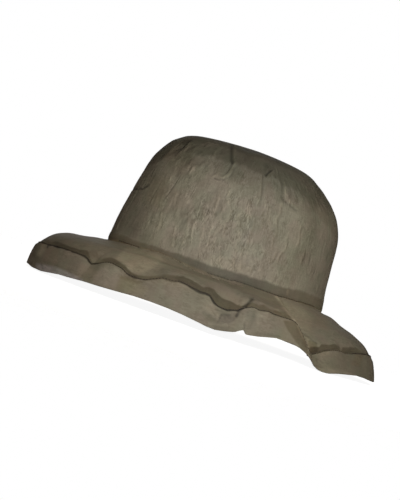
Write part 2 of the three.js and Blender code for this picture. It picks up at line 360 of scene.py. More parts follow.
def crushed_cotton(name, dark, light, grain, crinkle, weave):
    """Cotton dyed between two colours.

    grain is how wide and how tall its crinkles are, and crinkle and weave are heights, all in millimetres.
    """
    material = bpy.data.materials.new(name)
    tree = empty_tree(material)
    place = node(tree, "ShaderNodeAttribute", {"attribute_name": "cloth_place"}).outputs["Vector"]
    marks = node(tree, "ShaderNodeAttribute", {"attribute_name": "tone"})
    tone, crinkled = marks.outputs["Color"], marks.outputs["Alpha"]
    where = node(tree, "ShaderNodeTexCoord").outputs["Object"]

    # Noise on the flat cloth, with spots of some width round the hat and some height up it.
    spots = []
    for wide, tall, detail, distortion in (
        (*grain, 3.0, 1.4),
        (*FLOCK, 1.0, 0.0),
        (THREAD_SPACING, FLOAT_LENGTH, 1.0, 0.0),
        (FLOAT_LENGTH, THREAD_SPACING, 1.0, 0.0),
    ):
        scale = (1 / (wide * MM), 1 / (wide * MM), 1 / (tall * MM))
        flat = node(tree, "ShaderNodeMapping", Vector=place, Scale=scale).outputs[0]
        noise = node(
            tree, "ShaderNodeTexNoise", Vector=flat, Scale=1.0, Detail=detail, Distortion=distortion
        )
        spots.append(noise.outputs["Fac"])
    crests, flocks, warp, weft = spots
    patches = node(tree, "ShaderNodeTexNoise", Vector=where, Scale=1 / (PATCH_SIZE * MM), Detail=2.0)
    hue = node(tree, "ShaderNodeTexNoise", Vector=where, Scale=1 / (HUE_SIZE * MM), Detail=1.0)

    # Crinkles come in flocks, with calmer cloth between, and pressed cloth has hardly any.
    soft = {"interpolation_type": "SMOOTHSTEP"}
    share = node(
        tree,
        "ShaderNodeMapRange",
        soft,
        Value=flocks,
        From_Min=0.38,
        From_Max=0.62,
        To_Min=0.35,
        To_Max=1.15,
    ).outputs["Result"]
    share = node(tree, "ShaderNodeMath", {"operation": "MULTIPLY"}, _0=share, _1=crinkled).outputs[0]
    multiply_add = {"operation": "MULTIPLY_ADD"}
    level = node(tree, "ShaderNodeMath", {"operation": "SUBTRACT"}, _0=crests, _1=0.5).outputs[0]
    crests = node(tree, "ShaderNodeMath", multiply_add, _0=level, _1=share, _2=0.5).outputs[0]
    threads = node(tree, "ShaderNodeMath", {"operation": "ADD"}, _0=warp, _1=weft).outputs[0]
    threads = node(tree, "ShaderNodeMath", {"operation": "SUBTRACT"}, _0=threads, _1=0.5).outputs[0]

    # Dye patches, crests painted pale as a highlight, and threads together say how far the cloth is from
    # dark to light.
    patchy = patches.outputs["Fac"]
    fade = node(tree, "ShaderNodeMath", {"operation": "MULTIPLY"}, _0=patchy, _1=0.7).outputs[0]
    fade = node(tree, "ShaderNodeMath", multiply_add, _0=crests, _1=1.25, _2=fade).outputs[0]
    fade = node(tree, "ShaderNodeMath", multiply_add, _0=threads, _1=0.22, _2=fade).outputs[0]
    fade = node(tree, "ShaderNodeMapRange", soft, Value=fade, From_Min=0.6, From_Max=1.5).outputs["Result"]
    turn = hue.outputs["Fac"]
    turn = node(tree, "ShaderNodeMapRange", soft, Value=turn, From_Min=0.35, From_Max=0.65).outputs["Result"]
    mix, multiplied = {"data_type": "RGBA"}, {"data_type": "RGBA", "blend_type": "MULTIPLY"}
    dye = node(tree, "ShaderNodeMix", mix, _0=fade, _6=linear(dark), _7=linear(light)).outputs[2]
    turned = node(tree, "ShaderNodeMix", mix, _0=turn, _6=PINKER, _7=GREENER).outputs[2]
    dye = node(tree, "ShaderNodeMix", multiplied, _0=1.0, _6=dye, _7=turned).outputs[2]
    coloured = node(tree, "ShaderNodeMix", multiplied, _0=1.0, _6=dye, _7=tone).outputs[2]
    low_bump = node(tree, "ShaderNodeBump", Height=crests, Distance=crinkle * MM, Strength=1.0).outputs[0]
    fine_bump = node(tree, "ShaderNodeBump", Height=threads, Distance=weave * MM, Normal=low_bump)
    shader = node(
        tree,
        "ShaderNodeBsdfPrincipled",
        Base_Color=coloured,
        Roughness=0.72,
        Specular_IOR_Level=0.32,
        IOR=1.5,
        Normal=fine_bump.outputs[0],
    )
    node(tree, "ShaderNodeOutputMaterial", Surface=shader.outputs[0])
    print(f"material {name}: {len(tree.nodes)} nodes")
    return material


crown_cotton = crushed_cotton(
    "crushed_cotton_crown", "#696252", "#8f8877", grain=(2.1, 5.2), crinkle=0.55, weave=0.1
)
brim_cotton = crushed_cotton(
    "crushed_cotton_brim", "#746b58", "#8b826d", grain=(6.0, 2.6), crinkle=0.14, weave=0.1
)
tape_cotton = crushed_cotton("woven_tape", "#4a4235", "#5d5444", grain=(3.0, 1.2), crinkle=0.1, weave=0.2)

# %% [markdown]
# ## Touching in the marks and the painted light
#
# No rule gives the marks that handling leaves, nor the painted highlights and painted shade among them, so
# they are laid in one by one, from one side of the hat.
# The tables further on hold them for the near side. Their places are in millimetres along the hat from
# its middle, and above the seam. Many of those places were worked out by a program outside this script,
# and were not chosen by hand. Three tools use them: an edge that darkens the cloth on one side of a
# line across the hat, a stroke along a line, and a patch inside an outline.
# What is known of a mark on the near side only, such as its darkness, is carried round to the far side
# where cloth is doubled all round, and left off elsewhere.

# %% Strokes and patches
NEAR_BLEND = 9.0  # millimetres before and behind the hat's middle in which the near side fades out


def marks_frame(grid):
    """Millimetres along the hat and above the seam, and how much a corner is on the near side."""
    return grid[..., 0], grid[..., 2] - SEAM_HEIGHT, smooth(NEAR_BLEND, -NEAR_BLEND, grid[..., 1])


def near_or_far(near, near_value, far_value):
    """A value that differs between the near and the far side, blended where they meet."""
    return far_value + near * (near_value - far_value)


def distance_to_line(x, z, points):
    """Distance from every corner to a line of points."""
    points = np.array(points, float)
    best = np.full(x.shape, 1e9)
    for a, b in zip(points[:-1], points[1:]):
        run = b - a
        t = np.clip(((x - a[0]) * run[0] + (z - a[1]) * run[1]) / (run @ run), 0, 1)
        best = np.minimum(best, np.hypot(x - a[0] - t * run[0], z - a[1] - t * run[1]))
    return best


def inside_outline(x, z, points):
    """True for the corners inside a closed outline."""
    inside = np.zeros(x.shape, bool)
    for (ax, az), (bx, bz) in zip(points, points[1:] + points[:1]):
        if az == bz:
            continue
        crosses = (az > z) != (bz > z)
        inside ^= crosses & (x < ax + (z - az) * (bx - ax) / (bz - az))
    return inside


def patch_weight(x, z, points, soft):
    """1 inside an outline and 0 outside it, with an edge that is soft millimetres wide."""
    away = distance_to_line(x, z, points + points[:1])
    signed = np.where(inside_outline(x, z, points), away, -away)
    return smooth(-soft / 2, soft / 2, signed)


def multiply(tone, weight, colour):
    """Turns the tone towards tone times colour, or times one number, by weight."""
    tone *= 1 + weight[..., None] * (np.array(colour, float) - 1)


def read_off(table, column, x):
    """A column of a table whose first column is x."""
    return np.interp(x, [row[0] for row in table], [row[column] for row in table])


def touch_in(tone, x, z, near, strokes, patches):
    """Paints strokes and patches into the tone, and returns how deep the strokes press the cloth."""
    pressed = np.zeros(x.shape)
    for colour, soft, outline in patches:
        multiply(tone, patch_weight(x, z, outline, soft) * near, colour)
    for width, depth, shade, points in strokes:
        weight = bump(distance_to_line(x, z, points), width) * near
        pressed += depth * weight
        multiply(tone, weight, shade)
    return pressed


def ragged(degrees, seed, size):
    """A small uneven edge round the hat, about size millimetres either way."""
    random = np.random.default_rng(seed)
    angle = np.radians(degrees)
    wave = sum(
        math.sqrt(40 / n) * np.sin(n * angle + random.uniform(0, 6.28)) for n in (9, 17, 31, 53, 71, 97, 131)
    )
    return size * wave / 2.5


# %% [markdown]
# ## The crown
#
# A felt or cloth crown is pulled over a block, so its shape is an oval that shrinks towards the top by one
# and the same profile. The profile is read from four CAD columns: front, back and the two sides. Then
# any ring is known, and the loft can be as fine as the crinkles need. Rows stand closer at the foot, where
# the seam is.

# %% Profile of the crown
def profile(axis, side):
    """Outer (half-length, height) pairs up the CAD crown in one direction from its middle."""
    points = corners("crown")
    other = 1 - axis
    line = points[(np.abs(points[:, other]) < 0.9) & (points[:, axis] * side > 1)]
    out, height = line[:, axis] * side, line[:, 2]
    climb = np.arctan2(height - SEAM_HEIGHT, out)
    order = np.argsort(climb)
    pairs = np.stack([out, height], -1)[order].reshape(-1, 2, 2)  # each ring's two faces lie side by side
    outer = np.hypot(pairs[..., 0], pairs[..., 1] - SEAM_HEIGHT).argmax(axis=1)
    return pairs[np.arange(len(pairs)), outer]


front, back = profile(0, 1), profile(0, -1)
side = (profile(1, 1) + profile(1, -1)) / 2
crown_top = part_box("crown")[1].z / MM
print(f"{len(front)} rings from {front[0, 1]:.1f} to {crown_top:.1f} mm")

# %% Rows up the crown
FINE_ROW, ROW = 0.7, 1.6  # millimetres between rows in the first stretch and above it
FINE_STRETCH = 15.0
stations = np.column_stack([front[:, 0], back[:, 0], side[:, 0], (front[:, 1] + back[:, 1]) / 2])
mirrored = np.array([-1, -1, -1, 1]) * stations[::-1]
peak = np.array([[0, 0, 0, crown_top]])
stations = np.concatenate([2 * stations[:1] - stations[1:2], stations, peak, mirrored[:2]])
RING_COUNT = len(front)


def crown_station(number):
    """Front, back and side half-lengths and height at ring numbers, which may lie between rings."""
    i = np.minimum(np.floor(number).astype(int), RING_COUNT - 1)
    t = (number - i)[:, None]
    a, b, c, d = (stations[i + k] for k in range(4))
    return hermite(b, c, (c - a) / 2, (d - b) / 2, t)


dense = np.linspace(0, RING_COUNT, 1601)
line = crown_station(dense)
travelled = np.concatenate([[0], np.cumsum(np.hypot(np.diff(line[:, 0]), np.diff(line[:, 3])))])
CLIMB = travelled[-1]
fine = np.arange(0, FINE_STRETCH, FINE_ROW)
rows = np.concatenate([fine, np.arange(FINE_STRETCH, CLIMB - 1.5, ROW)])
crown_line = crown_station(np.interp(rows, travelled, dense))
print(f"{len(rows)} rows over {CLIMB:.0f} mm of cloth from foot to peak")

# %% The crown's plain face
turn_x, turn_y = np.cos(np.radians(CROWN_DEGREES)), np.sin(np.radians(CROWN_DEGREES))
half_length = np.where(turn_x[None] < 0, crown_line[:, 1:2], crown_line[:, 0:1])
crown_plain = np.stack(
    [half_length * turn_x, crown_line[:, 2:3] * turn_y, crown_line[:, 3:4] + 0 * turn_x], axis=-1
)
crown_out = normals(crown_plain)
crown_rise = crown_plain[..., 2] - SEAM_HEIGHT
radius = np.hypot(crown_plain[..., 0], crown_plain[..., 1])
crown_x, crown_z, crown_near = marks_frame(crown_plain)

# %% [markdown]
# ## Crinkles
#
# Crushing gives cloth a grain: short wrinkles that mostly stand upright and come in flocks, each flock
# leaning its own way, with a few longer folds between them. They are too many to place and too alike to
# need it, so seeded random numbers place them: flocks over the crown, and wrinkles about each flock's
# middle. A wrinkle is a ridge or a furrow a couple of millimetres wide. Its ridge is painted paler, as a
# painted highlight, and its furrow darker, as painted shade. The ends of the oval were crushed less.

# %% Crinkles on the crown
WRINKLE_DEPTH = 0.22  # millimetres, for a middling one
WRINKLES = dict(flocks=120, each=22, depth=WRINKLE_DEPTH, half_long=(2, 7.5), wide=(0.7, 1.7), seed=7)
FOLDS = dict(flocks=40, each=4, depth=0.3, half_long=(7, 18), wide=(1.0, 1.9), seed=12)


def wrinkles(row_places, degrees, ring_radius, flocks, each, depth, half_long, wide, seed):
    """Height of upright wrinkles over a stack of rings."""
    random = np.random.default_rng(seed)
    angle = np.radians(degrees)
    height = np.zeros(ring_radius.shape)
    for _ in range(flocks):
        flock_angle, flock_place = random.uniform(-math.pi, math.pi), random.uniform(12, 0.64 * CLIMB)
        lean = random.normal(0, 0.13)
        for _ in range(each):
            place, turn = flock_place + random.normal(0, 8), flock_angle + random.normal(0, 0.1)
            reach, width, tall = random.uniform(*half_long), random.uniform(*wide), random.normal(0, depth)
            tilt = lean + random.normal(0, 0.14)
            touched = np.abs(row_places - place) < reach
            along = (row_places[touched] - place)[:, None]
            away = (np.mod(angle - turn + math.pi, 2 * math.pi) - math.pi) * ring_radius[touched]
            height[touched] += tall * (1 - (along / reach) ** 2) * bump(away - tilt * along, width)
    return height


crown_shift = wrinkles(rows, CROWN_DEGREES, radius, **WRINKLES)
crown_shift += wrinkles(rows, CROWN_DEGREES, radius, **FOLDS)
crown_shift *= smooth(30, 65, radius) * smooth(8, 12, crown_rise) * (0.35 + 0.65 * np.abs(turn_y))
# painted light that follows the wrinkles: a painted highlight on ridges, painted shade in furrows
wrinkle_height = np.clip(crown_shift / WRINKLE_DEPTH, -2.5, 2.5)
wrinkle_painted_light = 1 + 0.08 * wrinkle_height + 0.1 * smooth(1.0, 2.5, wrinkle_height)
print(f"wrinkles from {crown_shift.min():.2f} to {crown_shift.max():.2f} mm")

# %% [markdown]
# ## Dents and pressed creases
#
# Handling leaves two kinds of mark on a crown. A dent is a soft hollow, given by its angle and height. A
# pressed crease is a thin line where the cloth was folded once and opened again: a groove with a raised lip
# beside it. The groove is darkened with painted shade, and the lip lightened with a painted highlight.

# %% Dents
DENTS = [  # angle, rise, half_wide, half_tall, depth
    (-172, 96, 16, 9, 0.4), (-104, 101, 9, 20, 2.0), (-66, 93, 8, 18, 1.6), (-38, 76, 10, 20, 1.4),
    (62, 96, 12, 18, 2.2), (118, 88, 10, 22, 1.8),
]
crown_dents = np.zeros_like(crown_rise)
for angle, rise, half_wide, half_tall, depth in DENTS:
    away = np.radians(np.mod(CROWN_DEGREES - angle + 180, 360) - 180) * radius
    crown_dents += depth * bump(away, half_wide) * bump(crown_rise - rise, half_tall)
crown_dents *= smooth(5, 45, radius)  # the peak itself stays whole

# %% Pressed creases on the crown
CROWN_CREASES = [  # width, depth, tone, lip, points on the near side
    (1.5, 0.9, 0.5, (1.8, 0), [(-23.4, 115.5), (-21.8, 108.7), (-20.2, 104.6), (-18.2, 100.5)]),
    (0.9, 0.5, 0.74, (1.7, -0.5), [(-18.2, 99), (-19, 94), (-20.2, 88.5), (-22.4, 85.4)]),
    (0.8, 0.5, 0.55, (-0.4, 1.7), [(-20.5, 82.2), (-24, 81.2), (-28.4, 80.9)]),
    (0.9, 0.4, 0.74, (-1.6, 0), [(-14.6, 97), (-15.2, 90), (-16.3, 86)]),
    (0.9, 0.3, 0.82, (1.2, -1), [(-31, 91.5), (-28, 87.6), (-29.9, 84.6), (-31.9, 81.7)]),
    (0.9, 0.8, 0.38, (1.4, 0), [(17, 104.5), (15.5, 101.9), (13.8, 98.3)]),
    (0.9, 0.5, 0.72, (-1.4, 0), [(11.6, 96.3), (13, 91.4), (14.5, 86.5), (15.9, 80.6), (16.4, 75.7)]),
    (0.9, 0.6, 0.7, (0.6, 2), [(32.9, 85.7), (36.8, 82.8), (42.6, 80.4), (49.4, 77.5)]),
    (1.2, 0.4, 0.78, (1.4, 0), [(30.1, 98.6), (32, 93.6), (33.9, 88.7)]),
    (1.0, 0.7, 0.38, (0, -1.6), [(-95.9, 48.5), (-90.8, 50.6), (-86.4, 52), (-82.8, 55.7)]),
    (1.6, 0.5, 0.62, (1.8, 0), [(-61, 105.5), (-64.7, 98.4), (-68.5, 90.4)]),
    (1.8, 0.5, 0.8, (1.8, 0), [(-71, 100.8), (-75.9, 93.9), (-80.7, 83)]),
]
crown_tone = np.repeat(wrinkle_painted_light[..., None], 3, axis=-1)
crown_grooves = np.zeros_like(crown_rise)
for width, depth, shade, lip_side, points in CROWN_CREASES:
    groove = bump(distance_to_line(crown_x, crown_z, points), width) * crown_near
    lip_line = [(x + lip_side[0], z + lip_side[1]) for x, z in points]
    raised = bump(distance_to_line(crown_x, crown_z, lip_line), width) * crown_near
    crown_grooves += depth * groove - 0.5 * depth * raised
    # painted shade in the groove, and a painted highlight on the raised lip
    multiply(crown_tone, groove, shade)
    multiply(crown_tone, raised, (1.12, 1.12, 1.1))
print(f"{len(CROWN_CREASES)} creases, deepest {crown_grooves.max():.2f} mm")

# %% Ridges that stand out from the crinkles, with painted highlight and shade
RIDGES = [  # points on the near side
    [(-63, 39), (-60.5, 22)],
    [(-55.5, 58), (-53.5, 44)],
    [(-46, 31), (-44, 12)],
    [(-36.5, 37), (-35.5, 25), (-34.5, 12.5)],
    [(-31.5, 37), (-29.5, 20)],
    [(-26, 48.5), (-24, 37), (-21, 24.5), (-19, 12.5)],
    [(-20, 67.5), (-18, 58), (-19, 48.5)],
    [(-15.5, 31.5), (-14.5, 20)],
    [(-11.5, 72.5), (-8.5, 64), (-5.5, 58)],
    [(-12.5, 58), (-10.5, 46.5)],
    [(-9.5, 44), (-11.5, 34)],
    [(-9.5, 31), (-10.5, 20)],
    [(-4.8, 58), (-5.7, 46.5), (-4.8, 35)],
    [(-3, 24.5), (-1, 12.5)],
    [(3, 56), (6, 46.5)],
    [(16, 58), (18, 44), (17, 34), (16, 24.5), (18, 12.5)],
    [(9.5, 31.5), (10.5, 22), (12.5, 12.5)],
    [(25, 72.5), (24, 60), (26, 53.5)],
    [(28, 69.5), (28.5, 58)],
    [(34.5, 77.5), (36.5, 63), (38.5, 48.5), (40, 39)],
    [(45, 37), (42, 27.5)],
    [(51, 48.5), (48, 29.5)],
    [(58.5, 66), (59.5, 48.5)],
    [(67, 46.5), (69, 35)],
]
RIDGE_WIDTH, RIDGE_HEIGHT = 0.9, 0.4
SHADE_ASIDE = 1.7  # millimetres from a ridge's crest to the middle of its shade
waver = 0.9 * np.sin(crown_z / 2.9 + 0.3 * crown_x)  # a ridge of crushed cloth is never straight
for points in RIDGES:
    ridge = bump(distance_to_line(crown_x + waver, crown_z, points), RIDGE_WIDTH) * crown_near
    shade = bump(distance_to_line(crown_x + waver - SHADE_ASIDE, crown_z, points), RIDGE_WIDTH) * crown_near
    crown_grooves += RIDGE_HEIGHT * (0.6 * shade - ridge)
    # painted highlight on each ridge's crest, and painted shade beside it
    multiply(crown_tone, ridge, (1.12, 1.11, 1.1))
    multiply(crown_tone, shade, (0.9, 0.89, 0.88))

# %% [markdown]
# ## The seam
#
# Crown and brim are eased together under the needle, so the seam is never quite level. The brim's inner
# edge follows this table of heights, and the crown's foot reaches far enough down behind it to hide the
# join wherever it dips.

# %% How the seam rises and dips
NEAR_SEAM = [  # x, height over a level seam
    (-103, -2.0), (-90, 0.0), (-70.5, 1.4), (-63, 2.0), (-53, 3.0), (-43, 2.4), (-33.5, 1.5),
    (-29, 0.8), (-24, -0.5), (-19, -1.4), (-7.5, -1.9), (7.5, -1.9), (19, -1.4), (29, 0.0), (42.5, 0.8),
    (58, 1.0), (65.5, 1.6), (77.5, 1.9), (90, 2.2), (96.5, 1.5), (103, -1.5),
]
FAR_SEAM = [  # x, height over a level seam
    (-103, -2.0), (-60, 1.2), (0, -0.5), (50, 1.2), (103, -1.5),
]


def seam_height(x, near):
    """How far the seam stands over a level one."""
    return near_or_far(near, read_off(NEAR_SEAM, 1, x), read_off(FAR_SEAM, 1, x))


# %% [markdown]
# ## Doubled cloth, and painted shade over the top
#
# Thin cloth lets light through, so where a second layer lies behind it less light comes back and it looks
# darker. On the crown that shows at the foot, where the seam allowance is turned up behind a tape, and
# over the top, where a second layer keeps the shape; there the darkening is also painted shade, where the
# crown turns away from the light. The tables say, along the hat, how high each layer's edge lies and how
# dark it makes the cloth.

# %% Where the crown is doubled, and painted shade over the top
FOOT_LAYER = [  # x, top of the layer over the seam, tone
    (-102.5, 6, 0.85), (-79, 6.3, 0.76), (-65, 6.6, 0.64), (-51, 6.9, 0.55), (-24, 7.4, 0.52),
    (0, 7.9, 0.5), (19, 8.4, 0.49), (43.5, 9.5, 0.49), (60, 10.4, 0.52), (73, 11.5, 0.6),
    (85, 11.7, 0.74), (102.5, 11, 0.82),
]
TOP_LAYER_AND_PAINTED_SHADE = [  # x, lower edge of the layer over the seam, tone
    (-99.5, 61.9, 0.8), (-78.5, 82.9, 0.74), (-63.5, 93.3, 0.7), (-53.5, 96.5, 0.72), (-34, 98.6, 0.7),
    (-24.5, 98.5, 0.66), (-17.5, 99.6, 0.66), (0, 98.4, 0.68), (7.5, 98.6, 0.66), (12.5, 96.9, 0.62),
    (24.5, 98.7, 0.64), (33, 95.1, 0.68), (48.5, 92.4, 0.72), (58.5, 88.1, 0.78), (73.5, 78.7, 0.86),
    (99.5, 59.8, 0.9),
]
BROWNER = np.array([1.0, 0.96, 0.87])  # a browner tint: for light through two layers, and for painted shade
GREYER = np.array([1.0, 0.99, 0.95])  # a greyer tint, used at the front of the foot and over the top


def darken(tone, weight, shade, colour=BROWNER):
    """Turns the tone towards shade, one number or one for each corner, by weight."""
    tone *= 1 + weight[..., None] * (np.asarray(shade)[..., None] * colour - 1)


foot_edge = read_off(FOOT_LAYER, 1, crown_x) + ragged(CROWN_DEGREES, 3, 0.45)
foot_weight = 1 - smooth(-1.3, 1.3, crown_z - foot_edge)
foot_colour = BROWNER + (GREYER - BROWNER) * bump(crown_x - 17, 55)[..., None]
darken(crown_tone, foot_weight, read_off(FOOT_LAYER, 2, crown_x), foot_colour)
top_edge = read_off(TOP_LAYER_AND_PAINTED_SHADE, 1, crown_x) + ragged(CROWN_DEGREES, 5, 1.0)
top_weight = smooth(-1.6, 2.4, crown_rise - top_edge)
# Over the top the darkening is partly the second layer and partly painted shade.
darken(crown_tone, top_weight, read_off(TOP_LAYER_AND_PAINTED_SHADE, 2, crown_x), GREYER)

# %% Painted light and shade on the crown, and patches of tone
SIDE_PAINTED_LIGHT = [  # x, tone: painted shade and light along the hat
    (-103, 0.95), (-92, 0.98), (-82, 0.82), (-72, 0.96), (-62, 1.02), (0, 0.96), (22, 0.93), (50, 0.99),
    (62, 0.97), (74, 0.94), (88, 0.95), (103, 1.15),
]
SHOULDER_PAINTED_SHADE = (0.75, 0.775, 0.765)  # painted shade on the shoulder below the second layer, which faces away from the light
# Among the patches, the pale one at the front of the foot is a painted highlight, and the broad darker ones
# high on the crown are painted shade.
CROWN_PATCHES = [  # tone as red, green, blue, softness, outline on the near side
    ((1.1, 1.1, 1.08), 6.0, [(-14, 9), (-9, 16), (9, 19), (29, 17), (31, 10), (8, 7.5)]),
    ((0.6, 0.58, 0.55), 3.0, [(-69, 101), (-66, 107), (-59, 108.5), (-58, 106), (-63, 101.5)]),
    ((0.78, 0.76, 0.73), 9.0, [(-75, 84), (-68, 96), (-55, 97), (-50, 86), (-60, 78), (-70, 76)]),
    ((0.9, 0.9, 0.89), 6.0, [(-40, 82), (-36, 95), (40, 94), (62, 84), (60, 76), (30, 80)]),
    ((0.92, 0.92, 0.9), 8.0, [(-62, 70), (-60, 92), (-42, 94), (-42, 78)]),
    ((1.1, 1.08, 1.08), 6.0, [(-78, 84), (-73, 100), (-66, 102), (-69, 84)]),
    ((0.93, 0.95, 0.93), 10.0, [(52, 12), (52, 62), (58, 84), (76, 84), (70, 50), (66, 12)]),
    ((0.88, 0.9, 0.92), 5.0, [(12, 32), (11, 56), (17, 58), (18, 32)]),
    (1.1, 5.0, [(25, 52), (24, 66), (33, 68), (34, 52)]),
    ((1.1, 1.1, 1.12), 8.0, [(-58, 12), (-56, 44), (-49, 44), (-48, 12)]),
    (1.08, 8.0, [(84, 62), (84, 82), (97, 78), (99, 62)]),
    (0.93, 10.0, [(-64, 72), (-60, 86), (-47, 93), (-38, 89), (-44, 80), (-54, 72)]),
    (1.12, 5.0, [(-79, 90), (-75, 99), (-69, 101), (-69, 92)]),
    (0.91, 8.0, [(-84, 9), (-84, 19), (-66, 19), (-66, 9)]),
    ((1.0, 0.99, 0.94), 10.0, [(-84, 41), (-84, 64), (-67, 67), (-65, 41)]),
    ((1.35, 1.3, 1.25), 1.0, [(64, 9.5), (65.8, 9.5), (66.8, 4.5), (65, 4.5)]),
]
crown_tone *= read_off(SIDE_PAINTED_LIGHT, 1, crown_x)[..., None]
multiply(crown_tone, smooth(25, 75, np.abs(crown_x)), (1.0, 0.985, 0.95))
multiply(crown_tone, smooth(80, 99, crown_rise), SHOULDER_PAINTED_SHADE)
touch_in(crown_tone, crown_x, crown_z, crown_near, [], CROWN_PATCHES)

# %% The seam's thread line on the crown, and painted light in the crevice below it
# Where the tone is under 1 it is the thread's dark line; where it is over 1 it is painted light, which keeps
# the crevice at the seam out of shade.
SEAM_LINE = [  # x, height over the seam, tone, half the width
    (-103, -1.0, 1.1, 0.6), (-92, 0.8, 1.1, 0.6), (-90, 1.0, 0.5, 0.4), (-71, 1.6, 0.55, 0.35),
    (-69, 1.9, 1.1, 0.6), (-53, 3.4, 1.1, 0.6), (-31, 1.4, 1.1, 0.6), (-8, 0.4, 1.0, 0.6),
    (-5, 0.4, 0.65, 0.5), (9, 0.6, 0.6, 0.5), (16, 1.0, 0.7, 0.5), (18, 1.8, 0.6, 0.5),
    (26, 1.7, 0.5, 0.5), (44, 1.7, 0.5, 0.5), (60, 1.7, 0.55, 0.5), (63, 2.0, 0.8, 0.5),
    (77, 2.3, 0.75, 0.5), (80, 2.8, 0.6, 0.45), (90, 2.8, 0.62, 0.45), (94, 2.4, 0.85, 0.5),
    (103, -0.8, 1.3, 0.6),
]
far_seam_line = 0.8 + seam_height(crown_x, crown_near)
seam_line = near_or_far(crown_near, read_off(SEAM_LINE, 1, crown_x), far_seam_line)
seam_line += ragged(CROWN_DEGREES, 11, 0.12)
from_line = (crown_z - seam_line) / read_off(SEAM_LINE, 3, crown_x)
darken(crown_tone, bump(from_line, 1), read_off(SEAM_LINE, 2, crown_x))
# painted light: the crown's foot below the thread line is lightened, where the crevice would be in shade
multiply(crown_tone, smooth(0.2, -0.8, crown_z - seam_line), (1.2, 1.12, 1.02))
crown_shift += 0.3 * foot_weight * smooth(0.8, 2.2, crown_z - seam_line) - 0.2 * bump(from_line, 1.2)
crown_shift[0] = np.maximum(crown_shift[0], 0)  # the foot stays up against the brim's edge

# %% Build the crown
CLOTH = 1.4
crown_grooves *= smooth(5, 30, radius)
crown_outer = crown_plain + crown_out * (crown_shift - crown_dents - crown_grooves)[..., None]
crown_inner = crown_plain - crown_out * (CLOTH + crown_dents)[..., None]
crown_inner = crown_inner[every(8, len(rows))]
FOOT_DROP = 2.6  # how far the crown's foot goes on down behind the brim
crown_outer[0, :, 2] -= FOOT_DROP
crown_inner[0, :, 2] -= FOOT_DROP
crown_foot = over(CROWN_DEGREES, 0, 0)[None, :, :2] + 0 * crown_plain[..., :2]
crown_place = np.concatenate([crown_foot, rows[:, None, None] + 0 * radius[..., None]], -1)
crown_crinkled = (1 - 0.8 * foot_weight) * (0.45 + 0.55 * np.abs(turn_y)) * (1 - 0.4 * top_weight)
crown_crinkled *= 1 - 0.35 * smooth(48, 72, crown_x)
crown_crinkled *= 1 + 0.8 * bump(crown_x + 3, 27) * crown_near * smooth(88, 70, crown_z)
crown = cloth_wall(
    "crown_cloth",
    crown_outer,
    crown_inner,
    crown_place.reshape(-1, 3),
    crown_tone.reshape(-1, 3),
    crown_cotton,
    peaks=[(0, 0, crown_top), (0, 0, crown_top - CLOTH)],
    crinkled=crown_crinkled.ravel(),
)

# %% [markdown]
# ## The brim
#
# The brim is cut as a ring, so from the seam outwards it is one smooth sheet. Its rows run from the crease
# up to the seam, closer together at both ends, where stitches pull the cloth down.

# %% Rows across the brim
brim_knots = np.moveaxis(around(brim_rings), 1, 0)  # [ring][column][reach, height], from the seam outwards
brim_shares = row_shares((0.06, 6), (0.8, 35), (1, 21))[::-1]
CLOSED = 0.28  # the CAD leaves 0.3 mm between neighbours, and stitches draw sewn cloth together
start, end = brim_knots[0, :, 0] - CLOSED, brim_knots[-1, :, 0] + CLOSED
brim_reach = start + (end - start) * brim_shares

# %% [markdown]
# ## The sewn lines, touched up
#
# The CAD columns are three degrees apart, about seven millimetres at the crease. A notch or a kink in the
# crease and in the rim can be narrower than that. These two tables give the near side's crease and rim
# as heights above the seam, and the brim and the band are drawn up or down to meet them near their
# edges, mostly by under 1.5 mm and by 4 mm at most. A program outside this script worked out every row
# of the rim and two thirds of the crease, so they hold more points than a hand would have chosen.

# %% Near crease and rim
NEAR_CREASE = [  # x, height
    (-164.5, -25.9), (-157, -24), (-148.5, -23.3), (-143, -22.5), (-137.5, -21.9), (-129, -21.3),
    (-115, -21.1), (-111, -21.2), (-107.5, -22.4), (-105, -24.3), (-102.5, -25.9), (-100, -24.4),
    (-97, -23.1), (-94, -21.5), (-91.5, -20.3), (-88.5, -19.3), (-84.5, -19.2), (-80.5, -19.7),
    (-77, -20.2), (-74, -21.2), (-71, -22.8), (-68, -23.4), (-63.5, -23.6), (-58, -23.6), (-53, -22.2),
    (-48.5, -20), (-43.5, -17.7), (-40, -16.2), (-30.5, -15.7), (-27, -14.4), (-24, -14.3),
    (-18.5, -15.1), (-11, -16.1), (-6.5, -16.8), (-2, -16.3), (2, -17), (4.5, -19.1), (7.5, -21.3),
    (11, -23.4), (16, -24), (19.5, -23.9), (24, -22.4), (28, -21.2), (29.5, -19.5), (32.5, -17.8),
    (35.5, -16.1), (38, -15), (42, -14.7), (44.5, -15.3), (48.5, -14.7), (53, -13.8), (57, -14.3),
    (65.5, -14.6), (75, -14.4), (79, -15.7), (82.5, -19.1), (86.5, -22.9), (91, -28.1), (95, -32.7),
    (97.5, -36), (99.5, -36.3), (102.5, -35.1), (106, -33), (109.5, -30.6), (114, -28.7), (120, -26.9),
    (125, -26.7), (128, -27.5), (134.5, -25.7), (141, -24), (148, -22.9), (154, -23), (160.5, -25.6),
]
